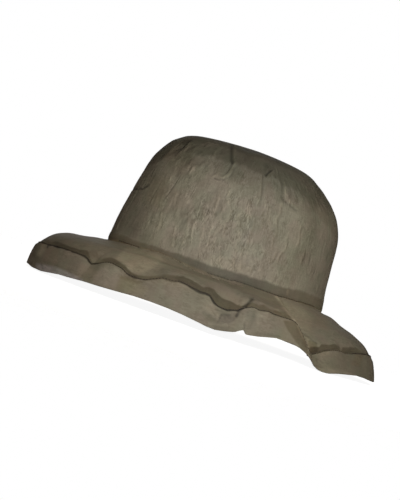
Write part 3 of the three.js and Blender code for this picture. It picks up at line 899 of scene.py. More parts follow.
NEAR_RIM = [  # x, height
    (-165.5, -45), (-161, -45.5), (-156, -46.5), (-146.5, -46.6), (-138, -45.1), (-129.5, -43.6),
    (-121.5, -43.1), (-105.5, -41.6), (-90, -40.8), (-74.5, -39.7), (-59.5, -38.5), (-44.5, -38.2),
    (-29.5, -38.5), (-15, -39.5), (0, -41.2), (7.5, -42.2), (15, -42.5), (22, -41.3), (29.5, -39.6),
    (32.5, -38.5), (34.5, -37), (36, -36.1), (38, -35.1), (39, -35.5), (40, -36.7), (41, -37.6),
    (42, -37.8), (44.5, -37.5), (52, -36.2), (59.5, -34.3), (67, -32.6), (82.5, -32.9), (90, -34.3),
    (94.5, -36.1), (98.5, -38.1), (102.5, -41.3), (106, -44.7), (110, -46.7), (114, -47.5),
    (118, -47.4), (121, -47), (129, -45), (138, -43.5), (146.5, -42.2), (155.5, -42.6), (165.5, -44.1),
]


def drawn_to(table, edge):
    """How far each column's edge moves up to meet a table's line. edge is [column][x, y, z]."""
    x, z, _ = marks_frame(edge)
    on_near_side = smooth(0, 14, -edge[:, 1])
    return on_near_side * (read_off(table, 1, x) - z)


crease_shift = drawn_to(NEAR_CREASE, over(BRIM_DEGREES, end, brim_knots[-1, :, 1]))
print(f"crease moves {crease_shift.min():.1f} to {crease_shift.max():.1f} mm")

# %% The brim's plain face
SWELLS = [  # angle, reach, half_wide, half_long, height: where the brim stands up a little more
    (178, 40, 26, 15, 1.6), (180, 10, 22, 9, 1.0), (2, 34, 26, 16, 1.4), (-118, 22, 12, 14, 1.0),
    (0, 10, 22, 9, 2.4), (0, 48, 24, 6, 0.8),
]
seam_edge = over(BRIM_DEGREES, start, brim_knots[0, :, 1])
seam_x, _, seam_near = marks_frame(seam_edge)
seam_shift = seam_height(seam_x, seam_near)


def brim_surface(reach):
    """Height of the brim's upper face at any reach, [row][column]."""
    on_knots = np.clip(reach, brim_knots[0, :, 0], brim_knots[-1, :, 0])
    height = across(brim_knots[..., 0], brim_knots[..., 1], on_knots)
    height += seam_shift * (1 - smooth(0, 26, reach - start))
    for angle, middle, half_wide, half_long, rise in SWELLS:
        away = np.radians(np.mod(BRIM_DEGREES - angle + 180, 360) - 180) * (HALF_LENGTH + middle)
        height += rise * bump(away, half_wide) * bump(reach - middle, half_long)
    return height + crease_shift * smooth(14, 0, end - reach)


brim_height = brim_surface(brim_reach)
brim_plain = over(BRIM_DEGREES, brim_reach, brim_height)
brim_x, brim_z, brim_near = marks_frame(brim_plain)

# %% [markdown]
# ## The doubled margin of the brim, and painted shade above the crease
#
# Under the brim's outer margin lies a second strip of cloth, the turning of the crease seam. Above the
# crease the cloth is darkened as a strip, partly that doubled cloth showing through and partly painted
# shade, and the strip's upper edge wanders. On the right it is crisp, nearly black in one corner, and
# broken where two turnings meet.

# %% Where the brim is doubled, and painted shade above the crease
MARGIN_LAYER_AND_SHADE = [  # x, upper edge of the strip over the seam, tone, softness of the edge
    (-163.5, -20.2, 0.75, 2.0), (-146.5, -19.1, 0.7, 2.0), (-141, -17.3, 0.52, 1.5),
    (-127.5, -18, 0.5, 1.5), (-122.5, -17.9, 0.5, 1.5), (-116.5, -16.6, 0.5, 1.5),
    (-111.5, -15.6, 0.52, 1.5), (-108.5, -18.2, 0.6, 1.5), (-103.5, -25.1, 0.6, 1.5),
    (-100.5, -23.2, 0.66, 2.0), (-97.5, -19.9, 0.7, 2.5), (-95, -16.7, 0.62, 2.0),
    (-89, -14, 0.58, 2.0), (-86, -14.1, 0.54, 1.5), (-80, -15.7, 0.55, 1.2), (-75, -16.4, 0.55, 1.2),
    (-72.5, -18.2, 0.55, 1.2), (-68.5, -20.1, 0.49, 1.2), (-61.5, -20.5, 0.51, 1.2),
    (-56, -19.6, 0.58, 1.8), (-46.5, -16.5, 0.62, 3.0), (-37.5, -12.1, 0.62, 3.0),
    (-28, -10.1, 0.58, 2.0), (-25, -8.9, 0.5, 1.2), (-11, -10.6, 0.5, 1.2), (-5.5, -11.7, 0.54, 1.5),
    (-2, -10.1, 0.56, 1.8), (3.5, -10.6, 0.54, 1.5), (7.5, -13.3, 0.48, 1.2), (12, -15.4, 0.46, 1.2),
    (20.5, -15.7, 0.45, 1.2), (26, -16.6, 0.46, 1.5), (30.5, -15.7, 0.48, 1.5),
    (34.5, -11.9, 0.55, 2.0), (37.5, -10.5, 0.65, 2.5), (43, -10.7, 0.64, 2.5), (48, -9.2, 0.62, 2.5),
    (53.5, -11.1, 0.68, 2.5), (62, -10.4, 0.64, 2.5), (68, -9.9, 0.6, 2.0), (72.5, -11.6, 0.55, 1.5),
    (79, -16.4, 0.7, 1.5), (83.5, -27.5, 0.95, 1.5), (94, -34.8, 0.95, 1.5), (97.5, -30.9, 0.62, 1.0),
    (102, -29.2, 0.44, 1.0), (105.5, -28, 0.42, 1.0), (106.5, -25.3, 0.48, 1.0),
    (112.5, -23.9, 0.55, 1.0), (118.5, -21.8, 0.59, 1.0), (122.5, -22.4, 0.58, 1.0),
    (125.5, -25.7, 0.95, 1.0), (126.5, -22.3, 0.58, 1.0), (132, -20.6, 0.58, 1.0),
    (139, -19.5, 0.66, 1.0), (142, -20, 0.8, 1.0), (145.5, -22, 0.82, 1.0), (150, -22.4, 0.76, 1.0),
    (154, -20.5, 0.5, 1.2), (164.5, -20.7, 0.7, 1.5),
]
brim_tone = np.ones(brim_plain.shape)
margin_edge = read_off(MARGIN_LAYER_AND_SHADE, 1, brim_x) + ragged(BRIM_DEGREES, 17, 0.25)
margin_soft = read_off(MARGIN_LAYER_AND_SHADE, 3, brim_x) / 2
above = (brim_z - margin_edge) / margin_soft
margin_weight = (1 - smooth(-1, 1, above)) * brim_near
far_width = 7.0 + ragged(BRIM_DEGREES, 19, 0.8)
margin_weight += (1 - smooth(-1, 1, end - brim_reach - far_width)) * (1 - brim_near)
# the dark strip: doubled cloth and painted shade
darken(brim_tone, margin_weight, near_or_far(brim_near, read_off(MARGIN_LAYER_AND_SHADE, 2, brim_x), 0.6))

# %% [markdown]
# ## Creases, lobes and patches on the brim, with painted light and shade
#
# The lobes of the brim that stand forward are painted lighter, as a painted highlight, and the folds are
# painted darker, as painted shade.

# %% Touch in the brim
# The first two strokes are a painted highlight along the right fold's ridge; the third and fourth are
# painted shade in a small crease on the right lobe and in the tuck.
BRIM_STROKES = [  # width, depth, tone, points on the near side
    (1.2, -0.6, 1.46, [(56.9, 0.2), (60.6, -2.2), (65.1, -5.5), (70, -9), (76.5, -12.6), (82, -16.3)]),
    (1.2, 0.0, 1.4, [(56.3, 0.4), (59.7, -1.3)]),
    (0.8, 0.3, 0.72, [(83.9, -21), (92, -22.8), (102.4, -25.7)]),
    (1.3, 0.8, 0.38, [(37.3, -7.8), (35.1, -11), (33.9, -13.7), (31.7, -16.9)]),
]
# Lighter patches on the forward lobes are painted highlight, darker ones in the folds painted shade, and the
# last two are painted shadow under the right fold's ridge.
BRIM_PATCHES = [  # tone as red, green, blue, softness, outline on the near side
    ((1.3, 1.3, 1.27), 3.5, [(-85.5, -14.5), (-83.5, -9), (-81.5, -3.5), (-77.5, -0.5), (-67.5, 0.5),
        (-58, 1.5), (-50, 1), (-47, -2), (-50, -7.5), (-54, -12.5), (-58, -17), (-62, -20), (-67.5, -20),
        (-73.5, -17), (-79.5, -15)]),
    (1.08, 5.0, [(-86, -15), (-82, -4), (-45, 1), (-45, -6), (-64, -8), (-70, -19), (-78, -16)]),
    (1.07, 6.0, [(-47, 1), (-34, -1), (-36, -7), (-43, -12), (-48, -12)]),
    (0.88, 4.0, [(-72, -20.5), (-66, -16), (-58, -13), (-44, -9), (-44, -15), (-60, -21)]),
    ((0.74, 0.72, 0.69), 4.0, [(-112, -16.5), (-108, -14), (-102, -13.5), (-98, -16), (-98, -19),
        (-102.5, -27), (-107, -21)]),
    ((0.88, 0.88, 0.92), 5.0, [(-45, -8), (-20, -6), (0, -5), (42, -4), (58, -8), (58, -15), (35, -15),
        (5, -19), (-30, -17), (-45, -19)]),
    (0.95, 5.0, [(8, -6), (30, -6), (30, -9), (8, -9)]),
    (1.06, 4.0, [(20, -3), (20, -6), (56, -7), (56, -3)]),
    ((1.07, 1.07, 1.05), 5.0, [(-32, -2.5), (-3, -3), (0, -8.5), (-32, -9)]),
    ((0.93, 0.93, 0.92), 3.0, [(14, 1.5), (60, 1.5), (52, -2.5), (20, -3)]),
    ((1.07, 1.06, 1.05), 5.0, [(40, -4), (64, -3), (72, -13), (48, -11)]),
    (0.89, 6.0, [(100, -17), (112, -17), (113, -23), (104, -27), (98, -24)]),
    ((1.0, 0.99, 0.97), 4.0, [(7, -10), (16, -9.5), (32, -11), (31, -16), (24, -16.5), (13, -15)]),
    ((1.0, 0.98, 0.97), 2.0, [(43.5, -5), (56, -1), (66.5, -7), (73.5, -11.5), (66, -10), (54.5, -10),
        (45, -9)]),
    ((1.22, 1.21, 1.2), 5.0, [(61, -2.5), (81.5, -3), (95, -7), (93.5, -18), (84, -17.5), (71, -10.5)]),
    ((1.12, 1.11, 1.08), 2.0, [(79, -16), (85, -21.5), (93, -23.5), (98.5, -27.5), (98, -35), (91.5, -28.5),
        (86, -23)]),
    ((0.92, 0.91, 0.9), 8.0, [(-163.5, -23.5), (-149, -10), (-119, -4), (-111.5, -5.5), (-114.5, -18),
        (-146, -21)]),
    ((1.06, 1.02, 0.98), 6.0, [(97.5, -3.5), (111.5, -3), (108, -13), (98, -12.5)]),
    ((1.06, 1.08, 1.12), 8.0, [(96, 0), (112, -2), (150, -18), (148, -22), (98, -25)]),
    ((0.74, 0.74, 0.66), 1.2, [(95, -25.5), (102.5, -25.5), (103.5, -28), (101.5, -31), (95.5, -30)]),
    ((0.68, 0.65, 0.58), 1.2, [(97, -30.5), (103.5, -28.5), (105.5, -30), (104.5, -34), (98.5, -36.5)]),
]


brim_pressed = touch_in(brim_tone, brim_x, brim_z, brim_near, BRIM_STROKES, BRIM_PATCHES)
from_seam = brim_reach - start
brim_pressed += 0.15 * bump(from_seam, 0.8) + 0.2 * bump(from_seam - 2.6, 0.7)
# painted light: the brim's inner edge is lightened, where the crevice at the seam would be in shade
multiply(brim_tone, bump(from_seam, 1.2), (1.1, 1.1, 1.09))
brim_pressed *= smooth(0, 3, end - brim_reach)
# painted shade along the brim's outer edge, in the crease
darken(brim_tone, bump(end - brim_reach, 1.0) * brim_near, 0.7)

# %% Build the brim
brim_outer = brim_plain - normals(brim_plain) * brim_pressed[..., None]
brim_under = (brim_plain - np.array([0, 0, CLOTH]))[every(6, len(brim_shares))]


def flat_place(degrees, reach, row_value):
    """Places on the flat cloth: round the hat at one reach, and row by row in the third direction."""
    ring = over(degrees, reach, 0)[None, :, :2] + 0 * row_value[..., None]
    return np.concatenate([ring, row_value[..., None]], -1).reshape(-1, 3)


brim = cloth_wall(
    "brim_cloth",
    brim_outer,
    brim_under,
    flat_place(BRIM_DEGREES, 30, brim_reach),
    brim_tone.reshape(-1, 3),
    brim_cotton,
)

# %% [markdown]
# ## The edge band
#
# The band hangs from the crease to the rim. Its top edge is the seam, drawn tight by dark thread. The
# dark line along it, the hat's most visible line, is partly that thread and partly painted shade in the
# crease; along the hat it is darker in some places and fainter in others.

# %% Rows up the band
band_knots = np.moveaxis(around(band_rings), 1, 0)  # from the rim up to the lip
band_shares = row_shares((0.8, 27), (1, 15))
rim, lip = band_knots[0, :, 1], band_knots[-1, :, 1]
band_reach = across(band_knots[..., 1], band_knots[..., 0], rim + (lip - rim) * band_shares)
for tip in (0, 180):  # at the hat's two ends the lip rolls in over the crease
    away = np.mod(BRIM_DEGREES - tip + 180, 360) - 180
    band_reach = band_reach - 1.9 * bump(away, 11) * smooth(0.8, 1, band_shares)
rim = rim + drawn_to(NEAR_RIM, over(BRIM_DEGREES, band_reach[0], rim))
lip = lip + crease_shift
band_height = rim + (lip - rim) * band_shares
band_plain = over(BRIM_DEGREES, band_reach, band_height)
band_x, band_z, band_near = marks_frame(band_plain)

# %% Touch in the band: marks, painted light and painted shade
# The dark line under the crease is partly the thread and partly painted shade in the crease.
THREAD_AND_SHADE_LINE = [  # x, tone, half the width of the line
    (-164, 0.6, 1.0), (-151, 0.3, 1.2), (-146, 0.16, 1.6), (-132, 0.14, 1.6), (-126, 0.24, 1.0),
    (-116, 0.26, 1.0), (-107, 0.2, 1.4), (-101, 0.2, 1.4), (-89.5, 0.3, 0.9), (-75, 0.42, 1.1),
    (-67.5, 0.34, 1.4), (-54, 0.4, 1.6), (-42, 0.55, 1.8), (-28, 0.5, 1.4), (-25, 0.24, 1.3),
    (-7.5, 0.2, 1.5), (7.5, 0.13, 2.0), (18, 0.13, 2.4), (28, 0.18, 1.8), (42, 0.3, 1.0),
    (75, 0.38, 0.9), (82.5, 1.0, 0.8), (97, 1.0, 0.8), (101.5, 0.45, 0.8), (124, 0.6, 0.8),
    (145.5, 0.4, 0.8), (163.5, 0.6, 0.8),
]
# Darker strokes in pressed grooves and creases are painted shade, and the brightest, along the right fold's
# edge and the lip, painted highlight.
BAND_STROKES = [  # width, depth, tone, points on the near side
    (1.3, 0.8, 0.42, [(31.6, -16.9), (29.5, -21), (28.9, -25.6)]),
    (0.8, 0.0, 0.7, [(16.2, -28.4), (19.5, -27.3), (23.2, -26.7)]),
    (1.0, 0.3, 1.14, [(9.2, -39.3), (18.5, -37.1), (30.6, -34.7)]),
    (0.8, 0.2, 0.7, [(15.3, -35.7), (15.7, -32.9), (16, -29.3)]),
    (0.8, 0.3, 0.7, [(37.1, -29.4), (38.5, -33.5)]),
    (1.0, -0.2, 1.12, [(45.6, -19.7), (51.3, -18.4), (57.9, -16.4)]),
    (0.6, -0.3, 1.45, [(80.7, -16.3), (86.4, -22.4), (92.1, -28.1), (97.9, -34.7)]),
    (2.2, 0.2, 0.82, [(42.3, -17.4), (43.2, -24.8), (42.7, -31.3)]),
    (1.6, 0.4, 0.8, [(1.9, -32), (7.4, -32.2), (13, -33.8)]),
    (1.0, 0.4, 0.4, [(-148.7, -21), (-148, -25.3)]),
    (0.9, 0.0, 1.25, [(-144, -41), (-138, -41.8)]),
    (0.9, 0.0, 1.2, [(-131, -39.5), (-121, -39.8)]),
    (0.8, 0.2, 0.72, [(-147.5, -41), (-144.5, -44.5)]),
    (0.7, 0.2, 0.75, [(-137, -43), (-130, -41.5)]),
    (0.7, 0.2, 0.8, [(-126, -42), (-117, -41.5)]),
    (1.2, -0.3, 1.12, [(40.5, -19), (46, -18), (53, -19.5)]),
    (1.4, 0.0, 1.14, [(48, -25.5), (50.5, -24.8)]),
    (1.1, 0.0, 1.12, [(-9, -31), (-6.5, -32)]),
    (0.8, 0.3, 0.84, [(-3, -21), (6, -26), (12, -31)]),
    (0.9, 0.3, 0.86, [(50, -34), (62, -31.5), (70, -30.5)]),
    (2.2, 0.0, 0.78, [(11, -26.5), (17, -27), (23, -26.5), (29, -25)]),
    (0.7, 0.0, 1.2, [(157, -26), (160, -33), (163.5, -41)]),
]
# Among the patches are painted shadow on the facet under the right fold's ridge and painted highlights along
# the rim; the band is also lighter at its left end.
BAND_PATCHES = [  # tone as red, green, blue, softness, outline on the near side
    ((0.7, 0.67, 0.6), 1.4, [(68, -16.5), (75, -14.5), (80.5, -15), (86, -21.5), (92, -27), (98, -36.5),
        (95, -36.5), (86, -31.5), (78.5, -26), (73, -22)]),
    ((0.74, 0.72, 0.74), 1.5, [(16, -29), (21.5, -27), (28.5, -27.5), (28.5, -30), (25, -33.5), (16.5, -35),
        (15.5, -31)]),
    ((0.84, 0.86, 0.82), 3.0, [(2, -33), (7.5, -32), (13, -34.5), (11, -37.5), (4.5, -37.5)]),
    ((1.06, 1.05, 1.04), 6.0, [(-2, -17.5), (5.5, -19), (16.5, -28.5), (15, -33), (5.5, -30), (-5.5, -23)]),
    ((0.93, 0.94, 0.98), 8.0, [(-60, -22), (0, -18), (60, -14), (70, -20), (66, -36), (20, -44),
        (-60, -42)]),
    ((1.07, 1.07, 1.0), 5.0, [(-75.5, -27), (-57.5, -26), (-50, -28.5), (-52, -36), (-75.5, -37)]),
    ((0.86, 0.84, 0.78), 3.0, [(-78.5, -26.5), (-65.5, -24.5), (-54, -24), (-57.5, -27.5), (-74.5, -28.5)]),
    ((1.36, 1.36, 1.46), 6.0, [(-94, -25.5), (-88, -20.5), (-80.5, -19.5), (-75.5, -24), (-76.5, -39),
        (-98, -40.5)]),
    ((1.16, 1.13, 1.12), 6.0, [(-112, -27.5), (-102, -27.5), (-94, -31), (-98.5, -40.5), (-111.5, -39.5)]),
    ((1.28, 1.27, 1.32), 6.0, [(-165, -22), (-112, -19), (-106, -27), (-112, -48), (-165, -48)]),
    ((1.02, 0.97, 0.95), 3.0, [(-149.5, -25), (-136.5, -22.5), (-133, -35.5), (-147, -38)]),
    ((1.5, 1.45, 1.42), 4.0, [(-155, -24), (-151, -23.5), (-149, -28.5), (-151, -35), (-155, -35)]),
    ((0.82, 0.82, 0.8), 5.0, [(-163.5, -33.5), (-150.5, -35.5), (-134, -36), (-118.5, -36.5), (-118.5, -38),
        (-134, -38), (-153.5, -43)]),
    (0.9, 8.0, [(-122, -22), (-106, -24), (-106, -48), (-122, -48)]),
    ((0.86, 0.86, 0.87), 4.0, [(34, -17), (38, -26), (46, -25), (43, -16)]),
    ((0.86, 0.84, 0.84), 4.0, [(11, -35), (27, -35), (27, -43), (13, -43)]),
    ((0.95, 0.94, 0.94), 5.0, [(0, -35), (27, -35), (27, -43), (0, -42)]),
    ((1.07, 1.07, 1.06), 5.0, [(0, -24), (8, -23.5), (14, -28.5), (12, -31), (0, -30)]),
    (0.92, 3.0, [(31, -17), (33, -24), (38, -22), (37, -15.5)]),
    (1.16, 6.0, [(150, -23), (150, -50), (170, -50), (162, -24)]),
    ((1.22, 1.2, 1.23), 3.0, [(118, -43), (146, -40.5), (146, -48), (118, -50)]),
    ((1.2, 1.21, 1.24), 3.0, [(-150, -42.5), (-140, -42), (-128, -41), (-118, -40.5), (-108, -43),
        (-108, -47), (-150, -50)]),
    ((1.3, 1.36, 1.66), 3.0, [(-152.5, -41.5), (-144.5, -40), (-136, -38.5), (-123.5, -38), (-111.5, -39.5),
        (-105.5, -40), (-105.5, -44.5), (-152.5, -49)]),
    ((1.08, 1.1, 1.1), 6.0, [(110, -28), (160, -22), (164, -46), (112, -48)]),
    ((1.0, 0.93, 0.88), 3.0, [(140, -22.5), (148, -22), (147, -34), (138, -34)]),
    ((1.14, 1.12, 1.12), 4.0, [(111, -41.5), (127.5, -41), (127, -45.5), (111, -47)]),
    ((0.88, 0.94, 0.9), 4.0, [(99.5, -36.5), (106.5, -33), (109, -42), (105, -46)]),
    ((1.12, 1.12, 1.08), 2.0, [(106, -32), (115, -28.5), (115.5, -31.5), (107.5, -35)]),
    ((0.97, 1.02, 1.0), 5.0, [(61.5, -21.5), (69, -23), (71, -32.5), (59.5, -32.5)]),
]
BAND_PAINTED_SHADE = 0.84  # painted shade: the whole band is darkened, as it stands nearer the light than the crown
band_tone = np.full(band_plain.shape, BAND_PAINTED_SHADE)
band_pressed = touch_in(band_tone, band_x, band_z, band_near, BAND_STROKES, BAND_PATCHES)
thread_and_shade_tone = near_or_far(band_near, read_off(THREAD_AND_SHADE_LINE, 1, band_x), 0.3)
thread_and_shade_reach = near_or_far(band_near, read_off(THREAD_AND_SHADE_LINE, 2, band_x), 1.0)
thread_and_shade_reach = thread_and_shade_reach * (1 + ragged(BRIM_DEGREES, 23, 0.3))
thread_and_shade_weight = 1 - smooth(0.6, 1.4, (lip - band_height) / thread_and_shade_reach)
darken(band_tone, thread_and_shade_weight, thread_and_shade_tone)

# %% Build the band
band_outer = band_plain - normals(band_plain) * band_pressed[..., None]
inner_reach = band_reach - CLOTH
shut = smooth(4.5, 2.4, lip - band_height)  # behind the brim's edge the band stands straight, with no gap
inner_reach = inner_reach + shut * np.minimum(end + 0.02 - inner_reach, 0)
band_inner = over(BRIM_DEGREES, inner_reach, band_height)[every(5, len(band_shares))]
band = cloth_wall(
    "edge_band_cloth",
    band_outer,
    band_inner,
    flat_place(BRIM_DEGREES, 60, band_height),
    band_tone.reshape(-1, 3),
    brim_cotton,
)

# %% [markdown]
# ## The two tapes
#
# Both tapes are hidden from the near side, but they show from below and inside: one stiffens the crown's
# foot, the other the brim's margin. They follow the finished cloth at the same small gap as in the CAD.

# %% Build the tapes
GAP = 0.3
TAPE = 1.0
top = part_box("head_tape")[1].z / MM
tape_rows = np.flatnonzero(crown_plain[:, 0, 2] < top + FINE_ROW / 2)
behind_crown = crown_plain[tape_rows] - crown_out[tape_rows] * (CLOTH + GAP)
head_tape = cloth_wall(
    "head_tape_cloth",
    behind_crown,
    behind_crown - crown_out[tape_rows] * TAPE,
    crown_place[tape_rows].reshape(-1, 3),
    np.ones(behind_crown.shape).reshape(-1, 3),
    tape_cotton,
)
tape_knots = np.moveaxis(around(tape_rings[:, :, 1, 0]), 1, 0)  # [edge][column]
tape_shares = np.linspace(1, 0, 8)[:, None]
tape_reach = tape_knots[0] + (tape_knots[1] - tape_knots[0]) * tape_shares
under_brim = over(BRIM_DEGREES, tape_reach, brim_surface(tape_reach) - CLOTH - GAP)
edge_tape = cloth_wall(
    "edge_tape_cloth",
    under_brim,
    under_brim - np.array([0, 0, TAPE]),
    flat_place(BRIM_DEGREES, 45, tape_reach),
    np.ones(under_brim.shape).reshape(-1, 3),
    tape_cotton,
)

# %% [markdown]
# ## Stitches
#
# A lockstitch shows as a row of short dashes of thread. Along each seam the dashes are all alike, so
# Geometry Nodes make them: the seam is a line of points, the line becomes a curve, the curve is cut into
# steps of one stitch, and a little spindle is set on every step, turned along the line and jogged a
# little at random. The thread is brown cotton, darker than the cloth, with a dull shine.

# %% Thread
sewing_thread = bpy.data.materials.new("cotton_sewing_thread")
tree = empty_tree(sewing_thread)
shader = node(
    tree, "ShaderNodeBsdfPrincipled", Base_Color=linear("#352c20"), Roughness=0.65, Specular_IOR_Level=0.4
)
node(tree, "ShaderNodeOutputMaterial", Surface=shader.outputs[0])


# %% The stitch maker
def stitch_maker():
    """A node group that sets stitches along a line of edges."""
    group = bpy.data.node_groups.new("stitch_maker", "GeometryNodeTree")
    sockets = (
        ("Line", "NodeSocketGeometry", None),
        ("Spacing", "NodeSocketFloat", 0.003),
        ("Length", "NodeSocketFloat", 0.002),
        ("Thickness", "NodeSocketFloat", 0.0005),
        ("Jog", "NodeSocketFloat", 0.1),
        ("Seed", "NodeSocketInt", 1),
        ("Thread", "NodeSocketMaterial", None),
    )
    for name, kind, default in sockets:
        socket = group.interface.new_socket(name, in_out="INPUT", socket_type=kind)
        if default is not None:
            socket.default_value = default
    group.interface.new_socket("Stitches", in_out="OUTPUT", socket_type="NodeSocketGeometry")
    given = node(group, "NodeGroupInput").outputs
    curve = node(group, "GeometryNodeMeshToCurve", Mesh=given["Line"]).outputs[0]
    settings = {"mode": "LENGTH"}
    steps = node(group, "GeometryNodeResampleCurve", settings, Curve=curve, Length=given["Spacing"])
    tangent = node(group, "GeometryNodeInputTangent").outputs[0]
    turned = node(group, "FunctionNodeAlignEulerToVector", {"axis": "X"}, Vector=tangent).outputs[0]
    jog = node(group, "ShaderNodeMath", {"operation": "MULTIPLY"}, _0=given["Jog"], _1=-1.0).outputs[0]
    settings = {"data_type": "FLOAT_VECTOR"}
    wobble = node(group, "FunctionNodeRandomValue", settings, _0=jog, _1=given["Jog"], Seed=given["Seed"])
    settings = {"rotation_type": "EULER", "space": "LOCAL"}
    jogged = node(group, "FunctionNodeRotateEuler", settings, Rotation=turned, _1=wobble.outputs[0])
    spindle = node(group, "GeometryNodeMeshUVSphere", Segments=6, Rings=5, Radius=0.5).outputs[0]
    size = node(group, "ShaderNodeCombineXYZ", X=given["Length"], Y=given["Thickness"], Z=given["Thickness"])
    set_out = node(
        group,
        "GeometryNodeInstanceOnPoints",
        Points=steps.outputs[0],
        Instance=spindle,
        Rotation=jogged.outputs[0],
        Scale=size.outputs[0],
    ).outputs[0]
    real = node(group, "GeometryNodeRealizeInstances", Geometry=set_out).outputs[0]
    finished = node(group, "GeometryNodeSetMaterial", Geometry=real, Material=given["Thread"]).outputs[0]
    node(group, "NodeGroupOutput", Stitches=finished)
    print(f"{group.name}: {len(group.nodes)} nodes")
    return group


STITCHES = stitch_maker()


def sew(name, points, **sizes):
    """A row of stitches through points that go once round the hat."""
    count = len(points)
    mesh = bpy.data.meshes.new(name + "_line")
    loop = [(k, (k + 1) % count) for k in range(count)]
    mesh.from_pydata(((points + MIDDLE) * MM).tolist(), loop, [])
    line = add_object(name + "_line", mesh)
    maker = line.modifiers.new("stitches", "NODES")
    maker.node_group = STITCHES
    identifiers = {item.name: item.identifier for item in STITCHES.interface.items_tree}
    for key, value in sizes.items():
        maker[identifiers[key]] = value
    evaluated = line.evaluated_get(bpy.context.evaluated_depsgraph_get())
    made = bpy.data.meshes.new_from_object(evaluated)
    made.name = name
    bpy.data.objects.remove(line)
    made.shade_smooth()
    print(f"{name}: {len(made.polygons)} faces")
    return add_object(name, made)


# %% Sew the crown's seam and the crease
def at_height(grid, heights):
    """The point of every column of a climbing grid at a height given for that column."""
    return np.array([
        [np.interp(height, column[:, 2], column[:, axis]) for axis in range(3)]
        for column, height in zip(np.moveaxis(grid, 1, 0), heights)
    ])


SUNK = 1.0  # millimetres that the thread has sunk into the cloth where its line has faded
sunk = SUNK * smooth(0.8, 0.95, read_off(SEAM_LINE, 2, crown_x[2])) * crown_near[2]
crown_seam = sew(
    "crown_seam_stitches",
    at_height(crown_outer, SEAM_HEIGHT + seam_line[2]) + (0.05 - sunk)[:, None] * crown_out[2],
    Spacing=0.0031,
    Length=0.0021,
    Thickness=0.0006,
    Jog=0.16,
    Seed=4,
    Thread=sewing_thread,
)
crease_seam = sew(
    "crease_stitches",
    at_height(band_outer, lip - 0.5),
    Spacing=0.0028,
    Length=0.0022,
    Thickness=0.0007,
    Jog=0.2,
    Seed=9,
    Thread=sewing_thread,
)

# %% [markdown]
# ## The camera, the floor and the light
#
# A low, long-lens view from the near side, turned about its own axis so that the hat leans jauntily. The
# light is a soft box in front, a little to the right and above, with weaker ones behind and above. The
# world is white only to the camera, so that it doesn't flatten the folds.

# %% Camera
CAMERA_DISTANCE = 2.0
CAMERA_ELEVATION = 0.5
CAMERA_ROLL = 19.2
VIEW_HEIGHT = 0.4557  # metres of the hat's plane that the picture's long side takes in
AIM = Vector((MIDDLE[0] * MM - 0.0202, MIDDLE[1] * MM, SEAM_HEIGHT * MM + 0.0169))

camera = add_object("camera", bpy.data.cameras.new("camera"))
bpy.context.scene.camera = camera
elevation = math.radians(CAMERA_ELEVATION)
camera.location = (
    MIDDLE[0] * MM,
    MIDDLE[1] * MM - CAMERA_DISTANCE * math.cos(elevation),
    SEAM_HEIGHT * MM + CAMERA_DISTANCE * math.sin(elevation),
)
camera.data.lens = camera.data.sensor_width * CAMERA_DISTANCE / VIEW_HEIGHT
looking = (AIM - camera.location).to_track_quat("-Z", "Y")
camera.rotation_mode = "QUATERNION"
camera.rotation_quaternion = looking @ Matrix.Rotation(math.radians(CAMERA_ROLL), 3, "Z").to_quaternion()
print(f"lens {camera.data.lens:.0f} mm")


# %% Lights
def softbox(name, place, aim, size, power, spread=180):
    """A square soft light of that size in metres. spread is the angle of its beam, in degrees."""
    light = bpy.data.lights.new(name, "AREA")
    light.size, light.energy, light.spread = size, power, math.radians(spread)
    lamp = add_object(name, light)
    lamp.location = place
    lamp.rotation_mode = "QUATERNION"
    lamp.rotation_quaternion = (Vector(aim) - Vector(place)).to_track_quat("-Z", "Y")
    lamp.visible_camera = False
    return lamp


HAT_MIDDLE = (0, 0, 0.08)
softbox("key", (0.12, -0.9, 0.26), (0.008, -0.08, 0.058), 0.22, 0.34, spread=38)
softbox("back_fill", (-0.1, 1.3, 0.3), HAT_MIDDLE, 0.8, 2.6)
softbox("top_fill", (0.0, 0.0, 1.4), HAT_MIDDLE, 0.8, 0.3)

# %% World and floor
world = bpy.data.worlds.new("studio")
bpy.context.scene.world = world
tree = empty_tree(world)
seen = node(tree, "ShaderNodeLightPath").outputs["Is Camera Ray"]
dim = node(tree, "ShaderNodeBackground", Color=(1, 0.87, 0.74, 1), Strength=0.1).outputs[0]
white = node(tree, "ShaderNodeBackground", Color=(1, 1, 1, 1), Strength=1.0).outputs[0]
both = node(tree, "ShaderNodeMixShader", _0=seen, _1=dim, _2=white).outputs[0]
node(tree, "ShaderNodeOutputWorld", Surface=both)
bpy.context.scene.view_settings.view_transform = "Standard"

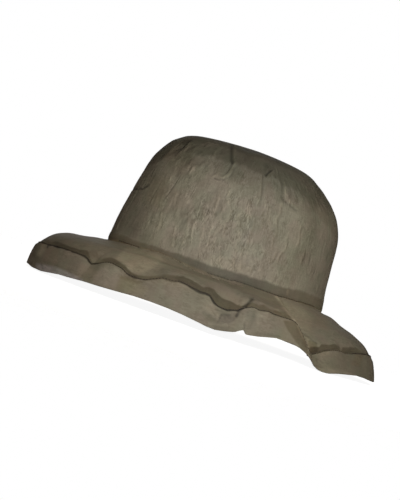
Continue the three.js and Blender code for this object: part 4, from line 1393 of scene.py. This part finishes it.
floor_mesh = bpy.data.meshes.new("floor")
FLOOR_RADIUS, SPOKES = 2.6, 96
turns = [2 * math.pi * k / SPOKES for k in range(SPOKES)]
floor_points = [(FLOOR_RADIUS * math.cos(turn), FLOOR_RADIUS * math.sin(turn), 0) for turn in turns]
floor_mesh.from_pydata(floor_points, [], [list(range(SPOKES))])
floor = add_object("floor", floor_mesh)
PAPER_GLOW = 0.92  # added for the camera only, so that the ground looks white
paper = bpy.data.materials.new("white_paper")
tree = empty_tree(paper)
where = node(tree, "ShaderNodeTexCoord").outputs["Object"]
far = node(tree, "ShaderNodeVectorMath", {"operation": "LENGTH"}, _0=where).outputs["Value"]
soft = {"interpolation_type": "SMOOTHSTEP"}
fade = node(tree, "ShaderNodeMapRange", soft, Value=far, From_Min=0.25, From_Max=0.9)
seen = node(tree, "ShaderNodeLightPath").outputs["Is Camera Ray"]
matt = node(tree, "ShaderNodeBsdfDiffuse", Color=(0.8, 0.8, 0.8, 1)).outputs[0]
glow_strength = node(tree, "ShaderNodeMath", {"operation": "MULTIPLY"}, _0=seen, _1=PAPER_GLOW).outputs[0]
glow = node(tree, "ShaderNodeEmission", Color=(1, 1, 1, 1), Strength=glow_strength).outputs[0]
lit = node(tree, "ShaderNodeAddShader", _0=matt, _1=glow).outputs[0]
clear = node(tree, "ShaderNodeBsdfTransparent").outputs[0]
surface = node(tree, "ShaderNodeMixShader", _0=fade.outputs["Result"], _1=lit, _2=clear).outputs[0]
node(tree, "ShaderNodeOutputMaterial", Surface=surface)
floor_mesh.materials.append(paper)

# %% Hand the pieces over
HANDED_OVER = (
    (crown, "crown", "crown_cloth"),
    (head_tape, "head_tape", "head_tape"),
    (brim, "brim", "brim_cloth"),
    (edge_tape, "edge_tape", "edge_tape"),
    (band, "edge_band", "band_cloth"),
    (crown_seam, None, "crown_cloth"),
    (crease_seam, None, "band_cloth"),
)
for piece, cad_node, slot in HANDED_OVER:
    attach(piece, "root")
    if cad_node:
        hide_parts(cad_node)
